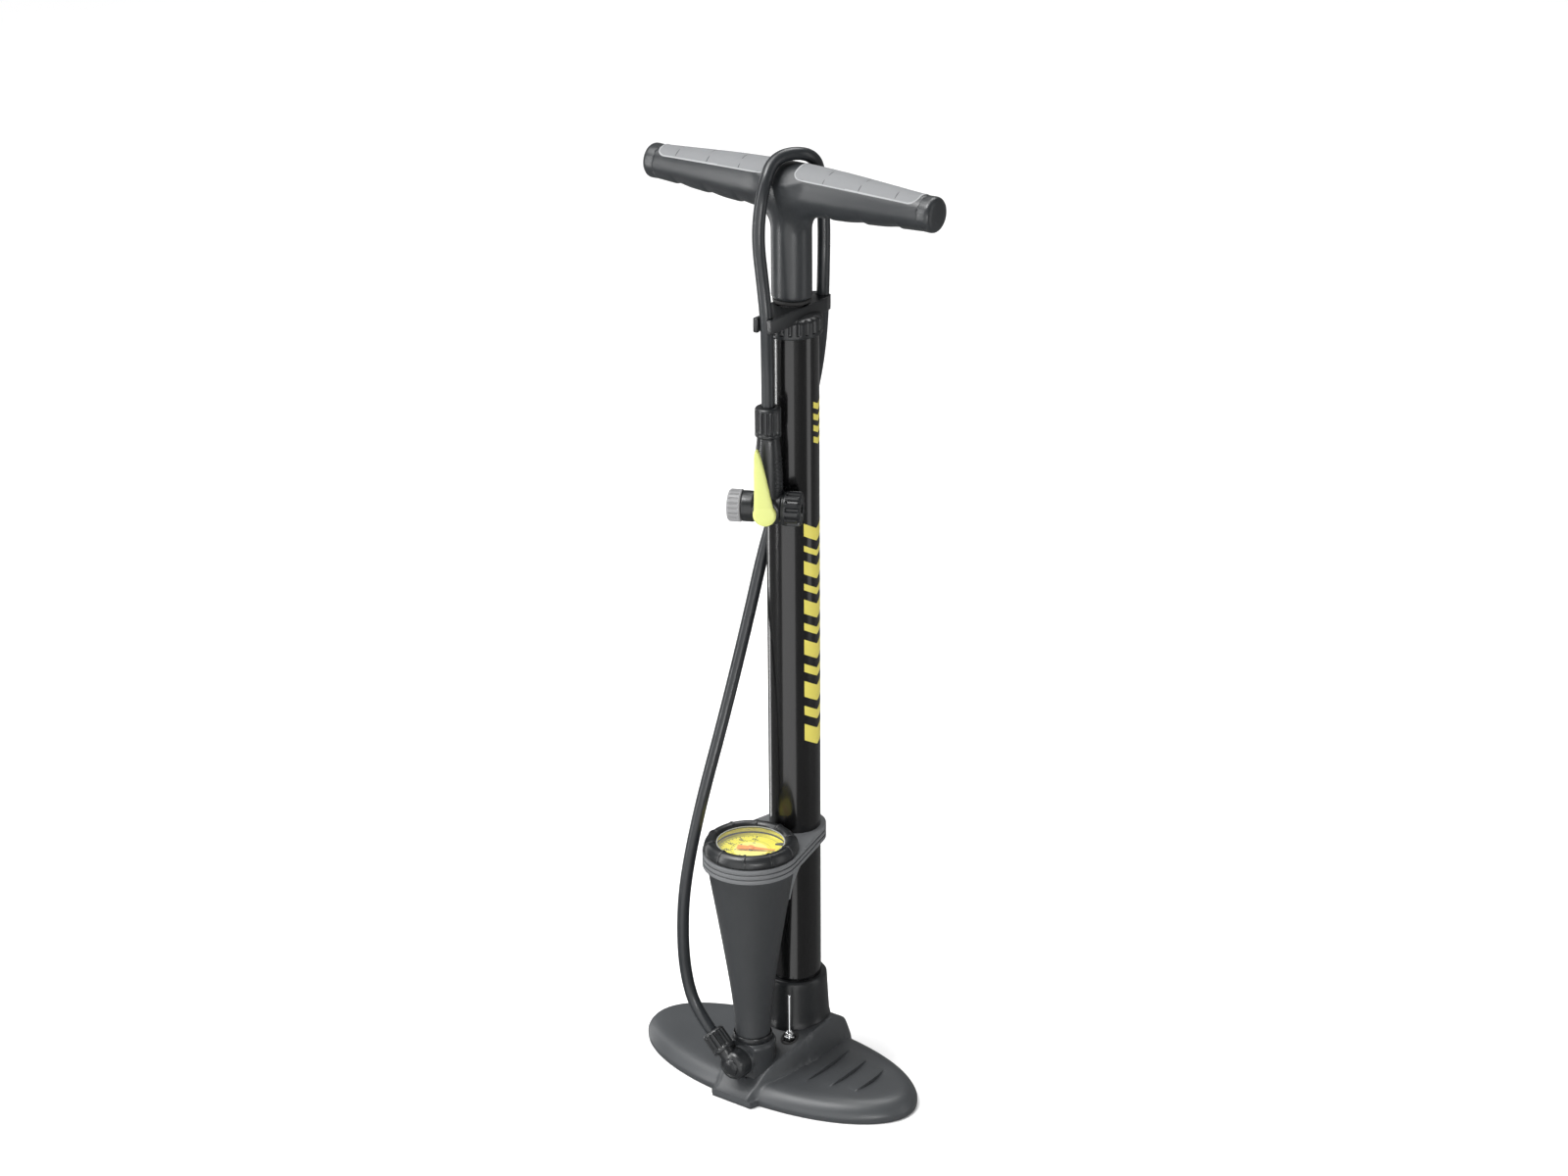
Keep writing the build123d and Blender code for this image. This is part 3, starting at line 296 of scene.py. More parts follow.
spline = line.splines.new("NURBS")
spline.points.add(len(ROUTE_M) - 1)
for control, at in zip(spline.points, ROUTE_M):
    control.co = (*at, 1.0)
spline.order_u = 3
spline.use_endpoint_u = True
hose_path = [v.co.copy() for v in mesh_of(line).vertices]


def tube(path, radius_m, sides=28):
    """Tube along points in metres, with rings that don't twist. Its ends are closed."""
    count = len(path)
    side = None
    verts = []
    for i, at in enumerate(path):
        ahead = (path[min(i + 1, count - 1)] - path[max(i - 1, 0)]).normalized()
        side = side or ahead.orthogonal()
        side = (side - ahead * side.dot(ahead)).normalized()
        other = ahead.cross(side)
        for k in range(sides):
            a = tau * k / sides
            verts.append(tuple((at + (side * cos(a) + other * sin(a)) * radius_m) / MM))
    faces = grid_faces(count, sides)
    faces += [tuple(reversed(range(sides))), tuple(range((count - 1) * sides, count * sides))]
    return verts, faces


hose = piece("hose_tube", *tube(hose_path, HOSE_R * MM), None, HOSE, "hose_rubber", ["hose"])

# ---------------- base
BASE_A, BASE_B, BASE_Y = 118.4, 56.2, -20.4
RIM_H, SHELL = 5.5, 2.6
TONGUE_Y, TONGUE_HALF = -83.0, 18.0
SADDLE = np.array((
    (-84.0, 14.6, 5.9, 18.0), (-83.0, 14.6, 6.5, 18.0), (-72.0, 15.6, 13.6, 26.0),
    (-58.0, 18.6, 23.6, 29.0), (-38.0, 23.4, 31.4, 29.6), (-20.0, 27.4, 37.6, 30.0),
    (0.0, 28.2, 39.6, 30.4), (18.0, 28.0, 36.4, 30.4), (28.0, 27.4, 26.0, 29.6),
    (34.4, 26.6, 11.0, 28.0), (37.0, 26.0, 5.0, 27.0),
))
TREADS = ((42.0, 58.0), (61.0, 48.0), (80.0, 37.0))
TREAD_Y, TREAD_BOW = -18.0, 2.2
# The sheet's columns of points bow with the treads between these distances from the middle.
BOW_IN, BOW_OUT, BOW_HALF = (32, 40), (86, 104), 28
COLUMN_Y = -54.6
NEEDLE_X, NEEDLE_Y = 15.0, -29.0
# The base's top is open under these: X, Y and radius of the socket, the column and the needle.
OPENINGS = ((0.0, 0.0, 21.5), (0.0, COLUMN_Y, 15.0), (NEEDLE_X, NEEDLE_Y, 5.0))


def inset_of(x, y):
    """How far inside the oval's rim a point lies, by its family of inset ovals."""
    low, high = np.full_like(x, -12.0), np.full_like(x, BASE_B - 0.5)
    for _ in range(26):
        mid = (low + high) / 2
        outside = (x / (BASE_A - mid)) ** 2 + ((y - BASE_Y) / (BASE_B - mid)) ** 2 > 1
        low, high = np.where(outside, low, mid), np.where(outside, mid, high)
    return (low + high) / 2


def soft_max(a, b, k):
    """The larger of two fields, blended where they differ by less than k."""
    h = np.clip(0.5 + 0.5 * (a - b) / k, 0, 1)
    return b + (a - b) * h + k * h * (1 - h)


def along_saddle(y, column):
    """Cubic interpolation of the saddle's table."""
    ys, vs = SADDLE[:, 0], SADDLE[:, column]
    slope = np.gradient(vs, ys)
    i = np.clip(np.searchsorted(ys, y) - 1, 0, len(ys) - 2)
    h = ys[i + 1] - ys[i]
    t = np.clip((y - ys[i]) / h, 0, 1)
    return ((2 * t**3 - 3 * t**2 + 1) * vs[i] + (t**3 - 2 * t**2 + t) * h * slope[i]
            + (3 * t**2 - 2 * t**3) * vs[i + 1] + (t**3 - t**2) * h * slope[i + 1])


def base_height(x, y, detail=True):
    """Height of the base's top at points in plan."""
    inside = np.maximum(inset_of(x, y), 0)
    wing = (RIM_H + 8.3 * (1 - np.clip(1 - inside / 22, 0, 1) ** 4)
            + 1.2 * (1 - np.exp(-inside / 0.8)) + 0.01 * inside)
    if detail:
        for at, length in TREADS:
            window = np.clip(1 - ((y - TREAD_Y) / (length / 2)) ** 2, 0, 1)
            s = x - at - TREAD_BOW * window
            step = np.where(s < 0, np.exp(s / 6.5), -0.8 * np.exp(-s / 3.0))
            wing = wing + 1.5 * window**0.8 * step
    top, height, foot = (along_saddle(y, column) for column in (1, 2, 3))
    steep = height / np.maximum(foot - top, 0.5)
    side = height - (np.abs(x) - top) * np.minimum(steep, 9.0)
    saddle = -soft_max(-side, -height, 2.2)
    return soft_max(wing, saddle, 4.0)


def front_edge(x):
    """Front outline of the base, with the tongue."""
    oval = BASE_Y - BASE_B * np.sqrt(np.clip(1 - (x / BASE_A) ** 2, 0, 1))
    shoulder = smooth(np.abs(x), TONGUE_HALF - 0.6, TONGUE_HALF + 2.4)
    tongue = TONGUE_Y * (1 - shoulder) + oval * shoulder
    return np.minimum(oval, tongue)


def base_columns(fine):
    """X of the base's columns of points, close together at the treads and the saddle."""
    wings = BASE_A * np.sin(np.linspace(-pi / 2, pi / 2, 190 if fine else 120))
    columns = list(wings) + list(np.arange(-33.6, 33.61, 0.9 if fine else 1.8))
    if fine:
        near = (-2.6, -1.8, -1.2, -0.8, -0.45, -0.2, -0.02, 0.12, 0.4, 0.8, 1.3, 2.0, 3.0)
        columns += [side * (at + d) for side in (-1, 1) for at, _ in TREADS for d in near]
    columns = np.unique(np.round(columns, 3))
    return columns[np.concatenate([[True], np.diff(columns) > 0.1])]


def base_sheet(columns, rows, inset, drop, detail):
    """Grid of points on the base's top surface, from its front edge to its back edge."""
    points = []
    scale = 1 - inset / BASE_A
    for x in columns:
        x = x * scale
        low = float(front_edge(np.array(x))) + inset
        high = float(BASE_Y + BASE_B * sqrt(max(0.0, 1 - (x / BASE_A) ** 2))) - inset
        low, high = min(low, BASE_Y), max(high, BASE_Y)
        spread = np.sin(np.linspace(-pi / 2, pi / 2, rows))
        y = (low + high) / 2 + (high - low) / 2 * (0.82 * spread + 0.18 * np.linspace(-1, 1, rows))
        window = np.clip(1 - ((y - TREAD_Y) / BOW_HALF) ** 2, 0, 1)
        reach = float(smooth(abs(x), *BOW_IN) * (1 - smooth(abs(x), *BOW_OUT)))
        bowed = x + np.sign(x) * TREAD_BOW * reach * window if detail else np.full(rows, x)
        z = np.maximum(base_height(bowed, y, detail) - drop, 0.4)
        points.append(np.stack([bowed, y, z], 1))
    return np.array(points)


def base_mesh():
    """The base as a hollow shell: a top sheet, an under sheet and the walls of its rim."""
    top = base_sheet(base_columns(True), rows=120, inset=0.0, drop=0.0, detail=True)
    under = base_sheet(base_columns(False), rows=60, inset=SHELL, drop=SHELL, detail=False)
    verts, faces = [], []

    def add_sheet(sheet, flip, skip):
        start = len(verts)
        n, m = sheet.shape[:2]
        verts.extend(map(tuple, sheet.reshape(-1, 3)))
        for i in range(n - 1):
            for j in range(m - 1):
                quad = [start + i * m + j, start + (i + 1) * m + j,
                        start + (i + 1) * m + j + 1, start + i * m + j + 1]
                middle = sum((Vector(verts[q]) for q in quad), Vector()) / 4
                if skip(middle):
                    continue
                faces.append(tuple(reversed(quad)) if flip else tuple(quad))
        rim = ([start + j for j in range(m)] + [start + i * m + m - 1 for i in range(1, n)]
               + [start + (n - 1) * m + j for j in range(m - 2, -1, -1)]
               + [start + i * m for i in range(n - 2, 0, -1)])
        return rim

    def hidden(at):
        return any(hypot(at.x - x, at.y - y) < r for x, y, r in OPENINGS)

    outer = add_sheet(top, False, hidden)
    inner = add_sheet(under, True, hidden)

    def skirt(rim, bulge):
        """Wall from a rim straight down, with a small foot radius."""
        rings = [rim]
        for inset, z in bulge:
            start = len(verts)
            for i in rim:
                x, y, _ = verts[i]
                away = Vector((x, y - BASE_Y)).normalized()
                verts.append((x - away.x * inset, y - away.y * inset, z))
            rings.append(list(range(start, start + len(rim))))
        for one, two in zip(rings, rings[1:]):
            n = len(one)
            faces.extend((one[k], one[(k + 1) % n], two[(k + 1) % n], two[k]) for k in range(n))
        return rings[-1]

    foot = skirt(outer, ((0.0, 4.4), (0.0, 2.6), (0.5, 2.2), (0.5, 0.7), (1.1, 0.0)))
    lip = skirt(inner, ((0.0, 0.3), (-0.2, 0.0)))
    # The rim's underside closes the two walls.
    place = {i: Vector(verts[i]) for i in foot + lip}
    ring = [(atan2(place[i].y - BASE_Y, place[i].x), i) for i in lip]
    angles = np.array([a for a, _ in ring])
    near = [ring[int(np.argmin(np.abs(np.angle(np.exp(1j * (angles - atan2(
        place[i].y - BASE_Y, place[i].x)))))))][1] for i in foot]
    for k in range(len(foot)):
        nxt = (k + 1) % len(foot)
        quad = (foot[k], foot[nxt], near[nxt], near[k])
        unique = tuple(dict.fromkeys(quad))
        if len(unique) > 2:
            faces.append(unique)
    return verts, faces


piece("base_shell", *base_mesh(), "stand", BASE_GREY, "base_plastic", ["base_plate"], sharp=50)


def rib(points, low, thick):
    """Upright rib whose top follows the base from underneath, along two end points in plan."""
    (x0, y0), (x1, y1) = points
    count = 40
    t = np.linspace(0, 1, count)
    x, y = x0 + (x1 - x0) * t, y0 + (y1 - y0) * t
    top = np.maximum(base_height(x, y, False) - SHELL + 0.5, low + 0.5)
    out = Vector((-(y1 - y0), x1 - x0)).normalized() * thick / 2
    verts = []
    for side, level in ((-1, None), (1, None), (1, low), (-1, low)):
        for k in range(count):
            height = top[k] if level is None else low
            verts.append((x[k] + out.x * side, y[k] + out.y * side, height))
    faces = []
    for k in range(count - 1):
        for a, b in ((0, 1), (1, 2), (2, 3), (3, 0)):
            faces.append((a * count + k, b * count + k, b * count + k + 1, a * count + k + 1))
    faces += [(0, count, 2 * count, 3 * count),
              tuple(m * count + count - 1 for m in (3, 2, 1, 0))]
    return verts, faces


ribs = []
for x in (-78.0, -46.0, 46.0, 78.0):
    half = (BASE_B - 4) * sqrt(1 - (x / (BASE_A - 4)) ** 2)
    ribs.append(rib(((x, BASE_Y - half), (x, BASE_Y + half)), 0.6, 2.2))
for side in (-1, 1):
    ribs.append(rib(((side * 31.0, BASE_Y), (side * (BASE_A - 5), BASE_Y)), 0.6, 2.2))
piece("base_ribs", *join(*ribs), "stand", BASE_GREY, "base_plastic")


# ---------------- softened CAD pieces
def dress(names, material, width=0.0, angle=32):
    """Gives CAD nodes a material, and small rounded edges where a width in mm is named."""
    for name in names.split():
        node = nodes[name]
        node.data.materials.clear()
        node.data.materials.append(material)
        if width:
            weld = node.modifiers.new("weld", "WELD")
            weld.merge_threshold = 1e-6
            bevel = node.modifiers.new("soft_edges", "BEVEL")
            bevel.width = width * MM
            bevel.segments = 2
            bevel.limit_method = "ANGLE"
            bevel.angle_limit = radians(angle)
            bevel.harden_normals = True


dress("barrel", LACQUER)
# The barrel socket is the base's grey plastic; giving it the black plastic paints the shade on its
# upright wall.
dress("barrel_socket column_ring", BLACK, 0.6)
dress("manifold", MANIFOLD_GREY, 0.6)
dress("gauge_column", COLUMN_GREY)
dress("gauge_bracket", LIGHT, 0.5)
dress("gauge_case piston", BLACK)
dress("barrel_gasket air_duct swivel_seal top_bumper piston_seal", RUBBER)
dress("presta_gasket schrader_gasket", RUBBER)
dress("check_valve_seat gauge_pipe gauge_socket bourdon_tube swivel_post", BRASS)
dress("movement_plate sector_gear", BRASS)
dress("check_valve_ball base_screws handle_bolt piston_bolt", STEEL)
dress("needle_spindle lever_spindle", STEEL)
dress("piston_rod", CHROME)
dress("rod_bush head_shuttle", PALE_CAP)

# ---------------- check valve spring
SPRING_FOOT, SPRING_TALL, SPRING_R, SPRING_PITCH, SPRING_WIRE = 20.6, 14.0, 2.6, 2.8, 0.35


def spring_mesh():
    """Round wire coiled up from the spring's foot, with closed ends."""
    turns, sides = SPRING_TALL / SPRING_PITCH, 10
    rings = int(turns * 28) + 1
    verts = []
    for i in range(rings):
        t = i / (rings - 1)
        a = tau * turns * t
        for k in range(sides):
            b = tau * k / sides
            r = SPRING_R + SPRING_WIRE * cos(b)
            z = SPRING_FOOT + SPRING_TALL * t + SPRING_WIRE * sin(b)
            verts.append((r * cos(a), r * sin(a), z))
    faces = grid_faces(rings, sides)
    faces += [tuple(range(sides)), tuple((rings - 1) * sides + k for k in reversed(range(sides)))]
    return verts, faces


spring = piece("valve_spring", *spring_mesh(), "stand", STEEL, "steel", ["check_valve_spring"])
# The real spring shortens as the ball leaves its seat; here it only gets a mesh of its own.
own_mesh(spring)


# ---------------- ball needle and its holder
def grommet():
    """Rubber holder whose lip follows the saddle's slope."""
    steps = 56
    rings = ((6.9, 0.05), (6.6, 0.45), (5.9, 0.6), (5.2, 0.2), (4.8, -1.2), (4.7, -2.6),
             (0.0, -2.8))
    verts = []
    for r, lift in rings:
        for k in range(steps):
            a = tau * k / steps
            x, y = NEEDLE_X + r * cos(a), NEEDLE_Y + r * sin(a)
            verts.append((x, y, float(base_height(np.array([x]), np.array([y]))[0]) + lift))
    return verts, grid_faces(len(rings), steps)


piece("needle_grommet", *grommet(), "stand", RUBBER, "rubber_black", ["needle_holder"])


def hexed(count, across):
    """Radius of a polygon with slightly rounded corners, as a lathe shape."""
    def shape(a, r, z):
        if r < across:
            return r
        part = (a % (tau / count)) - pi / count
        return min(across / cos(part), r)
    return shape


needle_profile = rounded([
    (0, 26.0), (2.3, 26.0), (2.4, 33.2), (3.4, 33.6), (4.15, 34.0), (4.15, 36.4), (3.6, 36.9),
    (2.2, 37.2), (2.2, 37.9), (3.0, 38.3), (3.0, 39.4), (2.1, 40.0), (1.3, 41.2), (1.15, 42.5),
    (1.15, 70.2), (0.7, 71.0), (0.0, 71.0)], 0.3, 3)
piece("ball_needle_turned", *lathe(needle_profile, 60, hexed(6, 3.65)), "ball_needle", CHROME,
      "chrome", ["ball_needle"], place=Matrix.Translation((NEEDLE_X, NEEDLE_Y, 0)), sharp=30)


# ---------------- ribbed hose nuts and swivel
def fluted(count, depth, low, high, share=0.42, ramp=0.9):
    """Lathe shape with rounded flutes between two heights."""
    def shape(a, r, z):
        part = abs(((a * count / tau) % 1.0) - 0.5) * 2
        groove = 1 - float(smooth(np.array(part), share - 0.22, share + 0.12))
        rise, fall = smooth(np.array(z), low, low + ramp), smooth(np.array(z), high - ramp, high)
        window = float(rise * (1 - fall))
        return r - depth * groove * window
    return shape


def levels(r, low, high, count):
    """Points of a straight side, enough of them for its flutes to start and end."""
    return [(r, low + (high - low) * k / (count - 1)) for k in range(count)]


def hose_nut(length, radius, bore, count=15):
    """Ribbed nut with a plain collar at its foot, closing on the hose at its top."""
    profile = [(bore, -1.0), (bore, 0.2)]
    profile += rounded([(radius - 0.9, 0.0), (radius, 0.5), (radius, 2.2), (radius - 0.35, 2.6)],
                       0.4, 3)
    profile += levels(radius - 0.05, 3.2, length - 2.0, 16)
    profile += rounded([(radius - 0.1, length - 1.9), (radius - 0.5, length - 0.9),
                        (radius - 1.7, length - 0.1), (HOSE_R + 0.5, length)], 0.5, 3)
    profile += [(HOSE_R + 0.25, length - 0.1), (HOSE_R + 0.1, length - 1.5)]
    return lathe(profile, count * 14, fluted(count, 1.1, 2.8, length - 1.9))


neck_dir = Vector((-cos(LEAN), 0, sin(LEAN)))
NUT_FOOT = 12.6
piece("swivel_nut_ribbed", *hose_nut(NUT_REACH - NUT_FOOT, 8.7, 6.5), "swivel", BLACK,
      "black_plastic", ["swivel_nut"],
      place=axes(SWIVEL_AT + neck_dir * NUT_FOOT, neck_dir, (0, 1, 0)))

DRUM_R, DRUM_BACK = 11.3, 71.4
drum_profile = rounded([
    (5.1, 0.0), (10.6, 0.0), (DRUM_R, 0.7), (DRUM_R, 8.0), (10.9, 9.0), (9.9, 10.4), (8.2, 11.2),
    (7.3, 11.5), (6.9, 10.7), (6.3, 10.8), (6.0, 11.6), (4.6, 12.1), (2.0, 12.6), (0.0, 12.7)],
    0.5, 4)
neck_profile = [(6.3, 3.0), (6.3, 11.5), (6.6, 12.2), (6.6, 13.6)]
drum = moved(lathe(drum_profile, 96), axes((0, -DRUM_BACK, SWIVEL_AT.z), (0, -1, 0)))
neck = moved(lathe(neck_profile, 64), axes(SWIVEL_AT, neck_dir, (0, 1, 0)))
piece("swivel_drum", *join(drum, neck), "swivel", BLACK, "black_plastic", ["hose_swivel"])

# ---------------- gauge
GAUGE = Matrix.Translation((0, COLUMN_Y, 0))
REST_ANGLE, SWEEP = 24.0, 270.0
bezel_profile = rounded([
    (31.4, 201.0), (31.4, 198.4), (33.8, 198.4), (34.3, 198.9), (34.3, 200.6), (33.9, 202.8),
    (32.8, 205.0), (31.0, 206.5), (29.0, 207.1), (27.2, 206.7), (25.9, 205.7), (25.1, 204.6),
    (24.8, 204.1), (24.8, 202.9), (27.4, 202.9), (27.6, 201.2), (31.4, 201.0)], 0.7, 3)
bezel_parts = [lathe(bezel_profile, 128)]
RIB_LINE = ((34.2, 199.2), (34.8, 199.6), (34.8, 201.0), (34.4, 203.0), (33.3, 205.4),
            (31.3, 207.0), (29.0, 207.65), (27.0, 207.2), (25.7, 206.2), (25.2, 205.0))
# Across a rib: the offset from its middle and how deep it sinks into the bezel.
RIB_SECTION = ((-1.25, 0.9), (-0.95, 0.15), (-0.5, 0.0), (0.5, 0.0), (0.95, 0.15), (1.25, 0.9))
for k in range(10):
    middle = radians(10 + 36 * k)
    verts = []
    for spread_mm, sink in RIB_SECTION:
        for r, z in RIB_LINE:
            lean = Vector((r - 29.5, z - 201.0)).normalized() * sink
            at = Vector((r - lean.x, spread_mm, z - lean.y))
            verts.append(tuple(Matrix.Rotation(middle, 3, "Z") @ at))
    bezel_parts.append((verts, grid_faces(len(RIB_SECTION), len(RIB_LINE), wrap=False)))
piece("bezel_ribbed", *join(*bezel_parts), "bezel", BLACK, "black_plastic", ["bezel"], place=GAUGE)

lens_profile = [(0, 202.95), (24.0, 202.95), (27.2, 202.95), (27.3, 203.4), (27.0, 203.75),
                (24.5, 203.9), (18, 204.15), (10, 204.35), (0, 204.4)]
piece("lens_domed", *lathe(lens_profile, 96), "bezel", LENS, "clear", ["gauge_lens"], place=GAUGE)


def scale_angle(k, count):
    """The angle on the dial at step k of count steps of the pointer's sweep."""
    return radians(REST_ANGLE - SWEEP * k / count)


def wedge(r0, r1, a, width, z, thick=0.12, tip=None):
    """Small flat bar along a radius, as printed marks and the target marker are."""
    tip = width if tip is None else tip
    verts = []
    for level in (z, z + thick):
        for r, half in ((r0, -width / 2), (r1, -tip / 2), (r1, tip / 2), (r0, width / 2)):
            c, s = cos(a), sin(a)
            verts.append((r * c - half * s, r * s + half * c, level))
    faces = [(0, 3, 2, 1), (4, 5, 6, 7), (0, 1, 5, 4), (1, 2, 6, 5), (2, 3, 7, 6), (3, 0, 4, 7)]
    return verts, faces


def ring_band(r0, r1, z, thick=0.1, steps=96):
    """Flat printed ring between two radii."""
    return lathe([(r0, z), (r1, z), (r1, z + thick), (r0, z + thick), (r0, z)], steps)


DIAL_FACE, DIAL_Z, POINTER_HOLE = 197.62, 197.65, 1.7
dial_profile = [(POINTER_HOLE, 197.0), (25.5, 197.0), (25.5, 197.5), (25.4, DIAL_FACE),
                (POINTER_HOLE, DIAL_FACE), (POINTER_HOLE, 197.0)]
piece("dial_plate", *lathe(dial_profile, 96), "stand", DIAL, "dial_yellow", ["gauge_dial"],
      place=GAUGE)
well_profile = [(25.3, 197.3), (25.6, 197.6), (26.9, 202.5), (27.1, 202.6), (27.2, 202.2),
                (26.0, 197.3), (25.3, 197.3)]
piece("dial_well", *lathe(well_profile, 96), "stand", DIAL, "dial_yellow", place=GAUGE)
# A thin pale ring inside the bezel's lip, painted there as the lip's highlight.
piece("lens_lip_highlight", *ring_band(24.3, 25.1, 203.9, 0.45), "bezel", LIP_HIGHLIGHT_GREY, "light_grey", place=GAUGE)
middle_profile = [(POINTER_HOLE, 197.55), (POINTER_HOLE, 197.66), (12.4, 197.66), (12.4, 197.55)]
piece("dial_middle", *lathe(middle_profile, 64), "stand", DIAL_PALE, "dial_yellow", place=GAUGE)
marks = [ring_band(22.35, 22.5, DIAL_FACE, 0.09), ring_band(14.65, 14.75, DIAL_FACE, 0.09)]
OUTER_MARKS, INNER_MARKS = 32, 22
for k in range(OUTER_MARKS + 1):
    major = k % 4 == 0
    marks.append(wedge(18.9 if major else 20.6, 22.4, scale_angle(k, OUTER_MARKS),
                       0.6 if major else 0.28, DIAL_FACE))
for k in range(INNER_MARKS + 1):
    marks.append(wedge(13.0 if k % 2 == 0 else 13.8, 14.7, scale_angle(k, INNER_MARKS), 0.4,
                       DIAL_FACE))
piece("dial_marks", *join(*marks), "stand", INK, "black_gloss", place=GAUGE)


def numeral(text, radius, a, size):
    """A number printed flat on the dial, upright for someone behind the pump."""
    letters = bpy.data.curves.new("number_" + text, "FONT")
    letters.body = text
    letters.size = size * MM
    letters.align_x, letters.align_y = "CENTER", "CENTER"
    letters.extrude = 0.05 * MM
    letters.offset = 0.04 * MM
    mesh = mesh_of(letters)
    mesh.transform(Matrix.Rotation(pi, 4, "Z"))
    mesh.transform(Matrix.Translation(
        (radius * cos(a) * MM, (radius * sin(a) + COLUMN_Y) * MM, (DIAL_Z + 0.06) * MM)))
    return [tuple(v.co / MM) for v in mesh.vertices], [tuple(p.vertices) for p in mesh.polygons]


numbers = [numeral(str(20 * k), 16.6, scale_angle(k, 8), 3.6) for k in range(9)]
numbers += [numeral(str(k), 11.2, scale_angle(k, 11), 2.5) for k in range(1, 12, 2)]
piece("dial_numbers", *join(*numbers), "stand", INK, "black_gloss")

needle_turn = GAUGE @ Matrix.Rotation(radians(REST_ANGLE), 4, "Z")
blade = slab([(-10, -2.5), (-6, -2.6), (2, -2.0), (10, -0.8), (18.2, -0.25), (18.2, 0.25),
              (10, 0.8), (2, 2.0), (-6, 2.6), (-10, 2.5)], 198.9, 199.6, 0.18, 2)
hub_profile = rounded([(0.9, 199.4), (2.6, 199.4), (2.6, 200.2), (1.6, 200.7), (0, 200.8)], 0.3, 3)
hub = lathe(hub_profile, 40)
piece("pointer", *join(blade, hub), "needle", ORANGE, "orange", ["gauge_needle"], place=needle_turn)
piece("marker_print", *wedge(24.9, 17.8, radians(36), 3.6, 201.5, 1.0, tip=0.9), "bezel", INK,
      "black_gloss", ["target_marker"], place=GAUGE)

# ---------------- barrel cap and hose dock
BARREL_R = 19.0
CAP_R, CAP_RIBS = 21.6, 22
barrel_cap_profile = rounded([(19.1, 579.0), (19.1, 577.6), (21.0, 577.6), (CAP_R, 578.2),
                              (CAP_R, 579.8)], 0.4, 3)
barrel_cap_profile += levels(CAP_R, 580.2, 588.6, 16)
barrel_cap_profile += rounded([(21.4, 589.0), (20.6, 590.1), (18.2, 591.3), (14.0, 592.4),
                               (11.2, 592.6), (11.2, 589.9), (5.5, 589.9), (5.5, 586.0)], 0.5, 3)
cap_ribs = fluted(CAP_RIBS, 1.3, 580.0, 590.8, 0.44)
piece("barrel_cap_ribbed", *lathe(barrel_cap_profile, CAP_RIBS * 12, cap_ribs), "stand", BLACK,
      "black_plastic", ["barrel_cap"])

bumper_profile = rounded([(5.6, 599.6), (12.9, 599.6), (13.5, 600.4), (13.5, 602.2), (12.9, 602.8),
                          (5.6, 602.8)], 0.5, 3)
piece("bumper_ring", *lathe(bumper_profile, 64), "stand", RUBBER, "rubber_black", ["stem_bumper"])


def plate(outlines, low, high, edge):
    """Plate with rounded rims from an outline and its holes, in plan."""
    flat = bpy.data.curves.new("plate", "CURVE")
    flat.dimensions = "2D"
    flat.fill_mode = "BOTH"
    flat.extrude = (high - low) / 2 - edge
    flat.bevel_depth = edge
    flat.bevel_resolution = 2
    flat.offset = -edge
    for outline in outlines:
        ring = flat.splines.new("POLY")
        ring.points.add(len(outline) - 1)
        for point, (x, y) in zip(ring.points, outline):
            point.co = (x, y, 0, 1)
        ring.use_cyclic_u = True
    mesh = mesh_of(flat)
    return ([(v.co.x, v.co.y, v.co.z + (low + high) / 2) for v in mesh.vertices],
            [tuple(p.vertices) for p in mesh.polygons])


CLIP_R = 4.8


def clip_arc(x, y, way):
    """The inside of a hose clip that opens towards way along Y, from its +X side to its -X side."""
    side = radians(50.4)
    return [(x + CLIP_R * sin(a), y + way * CLIP_R * cos(a))
            for a in (side + (tau - 2 * side) * k / 18 for k in range(19))]


dock_outline = [
    (12.2, -41.5), (12.6, -40.6), (13.6, 22.4), (13.3, 23.6), (10.6, 31.6), (9.9, 32.4),
    *clip_arc(6.2, 28.1, 1), (2.5, 32.4), (-1.4, 32.4), (-2.6, 31.8), (-11.8, 22.6), (-12.4, 21.2),
    (-12.4, -13.4), (-11.8, -15.0), (-2.8, -31.4), (-2.2, -33.0), (-2.2, -42.2), (-1.4, -43.0),
    (1.0, -43.0), (1.8, -42.2), *reversed(clip_arc(5.5, -37.4, -1)), (9.2, -41.5)]
HOLE_R, HOLE_STEPS = 11.7, 48
stem_hole = [(HOLE_R * cos(tau * k / HOLE_STEPS), -HOLE_R * sin(tau * k / HOLE_STEPS))
             for k in range(HOLE_STEPS)]
piece("dock_plate", *plate((dock_outline, stem_hole), 588.0, 598.5, 0.9), "stand", BLACK,
      "black_plastic", ["hose_dock"], sharp=50)


# ---------------- barrel graphics
def chevron(low, tall, thick, a0, a1):
    """Slanted band with a kink, as rows of quads from one side of the print to the other."""
    steps, kink = 26, 0.42
    rows = []
    for k in range(steps + 1):
        t = k / steps
        a = radians(a0 + (a1 - a0) * t)
        rise = low + abs(t - kink) / (1 - kink) * tall
        rows.append((a, rise, rise + thick))
    verts = []
    for lift in (0.004, 0.07):
        for a, z0, z1 in rows:
            for z in (z0, z1):
                verts.append(((BARREL_R + lift) * cos(a), (BARREL_R + lift) * sin(a), z))
    n = 2 * (steps + 1)
    faces = []
    for k in range(steps):
        i = 2 * k
        faces.append((n + i, n + i + 2, n + i + 3, n + i + 1))
        faces.append((i, i + 1, i + 3, i + 2))
        faces.append((i, i + 2, n + i + 2, n + i))
        faces.append((i + 1, n + i + 1, n + i + 3, i + 3))
    faces += [(0, n, n + 1, 1), (n - 2, n - 1, 2 * n - 1, 2 * n - 2)]
    return verts, faces


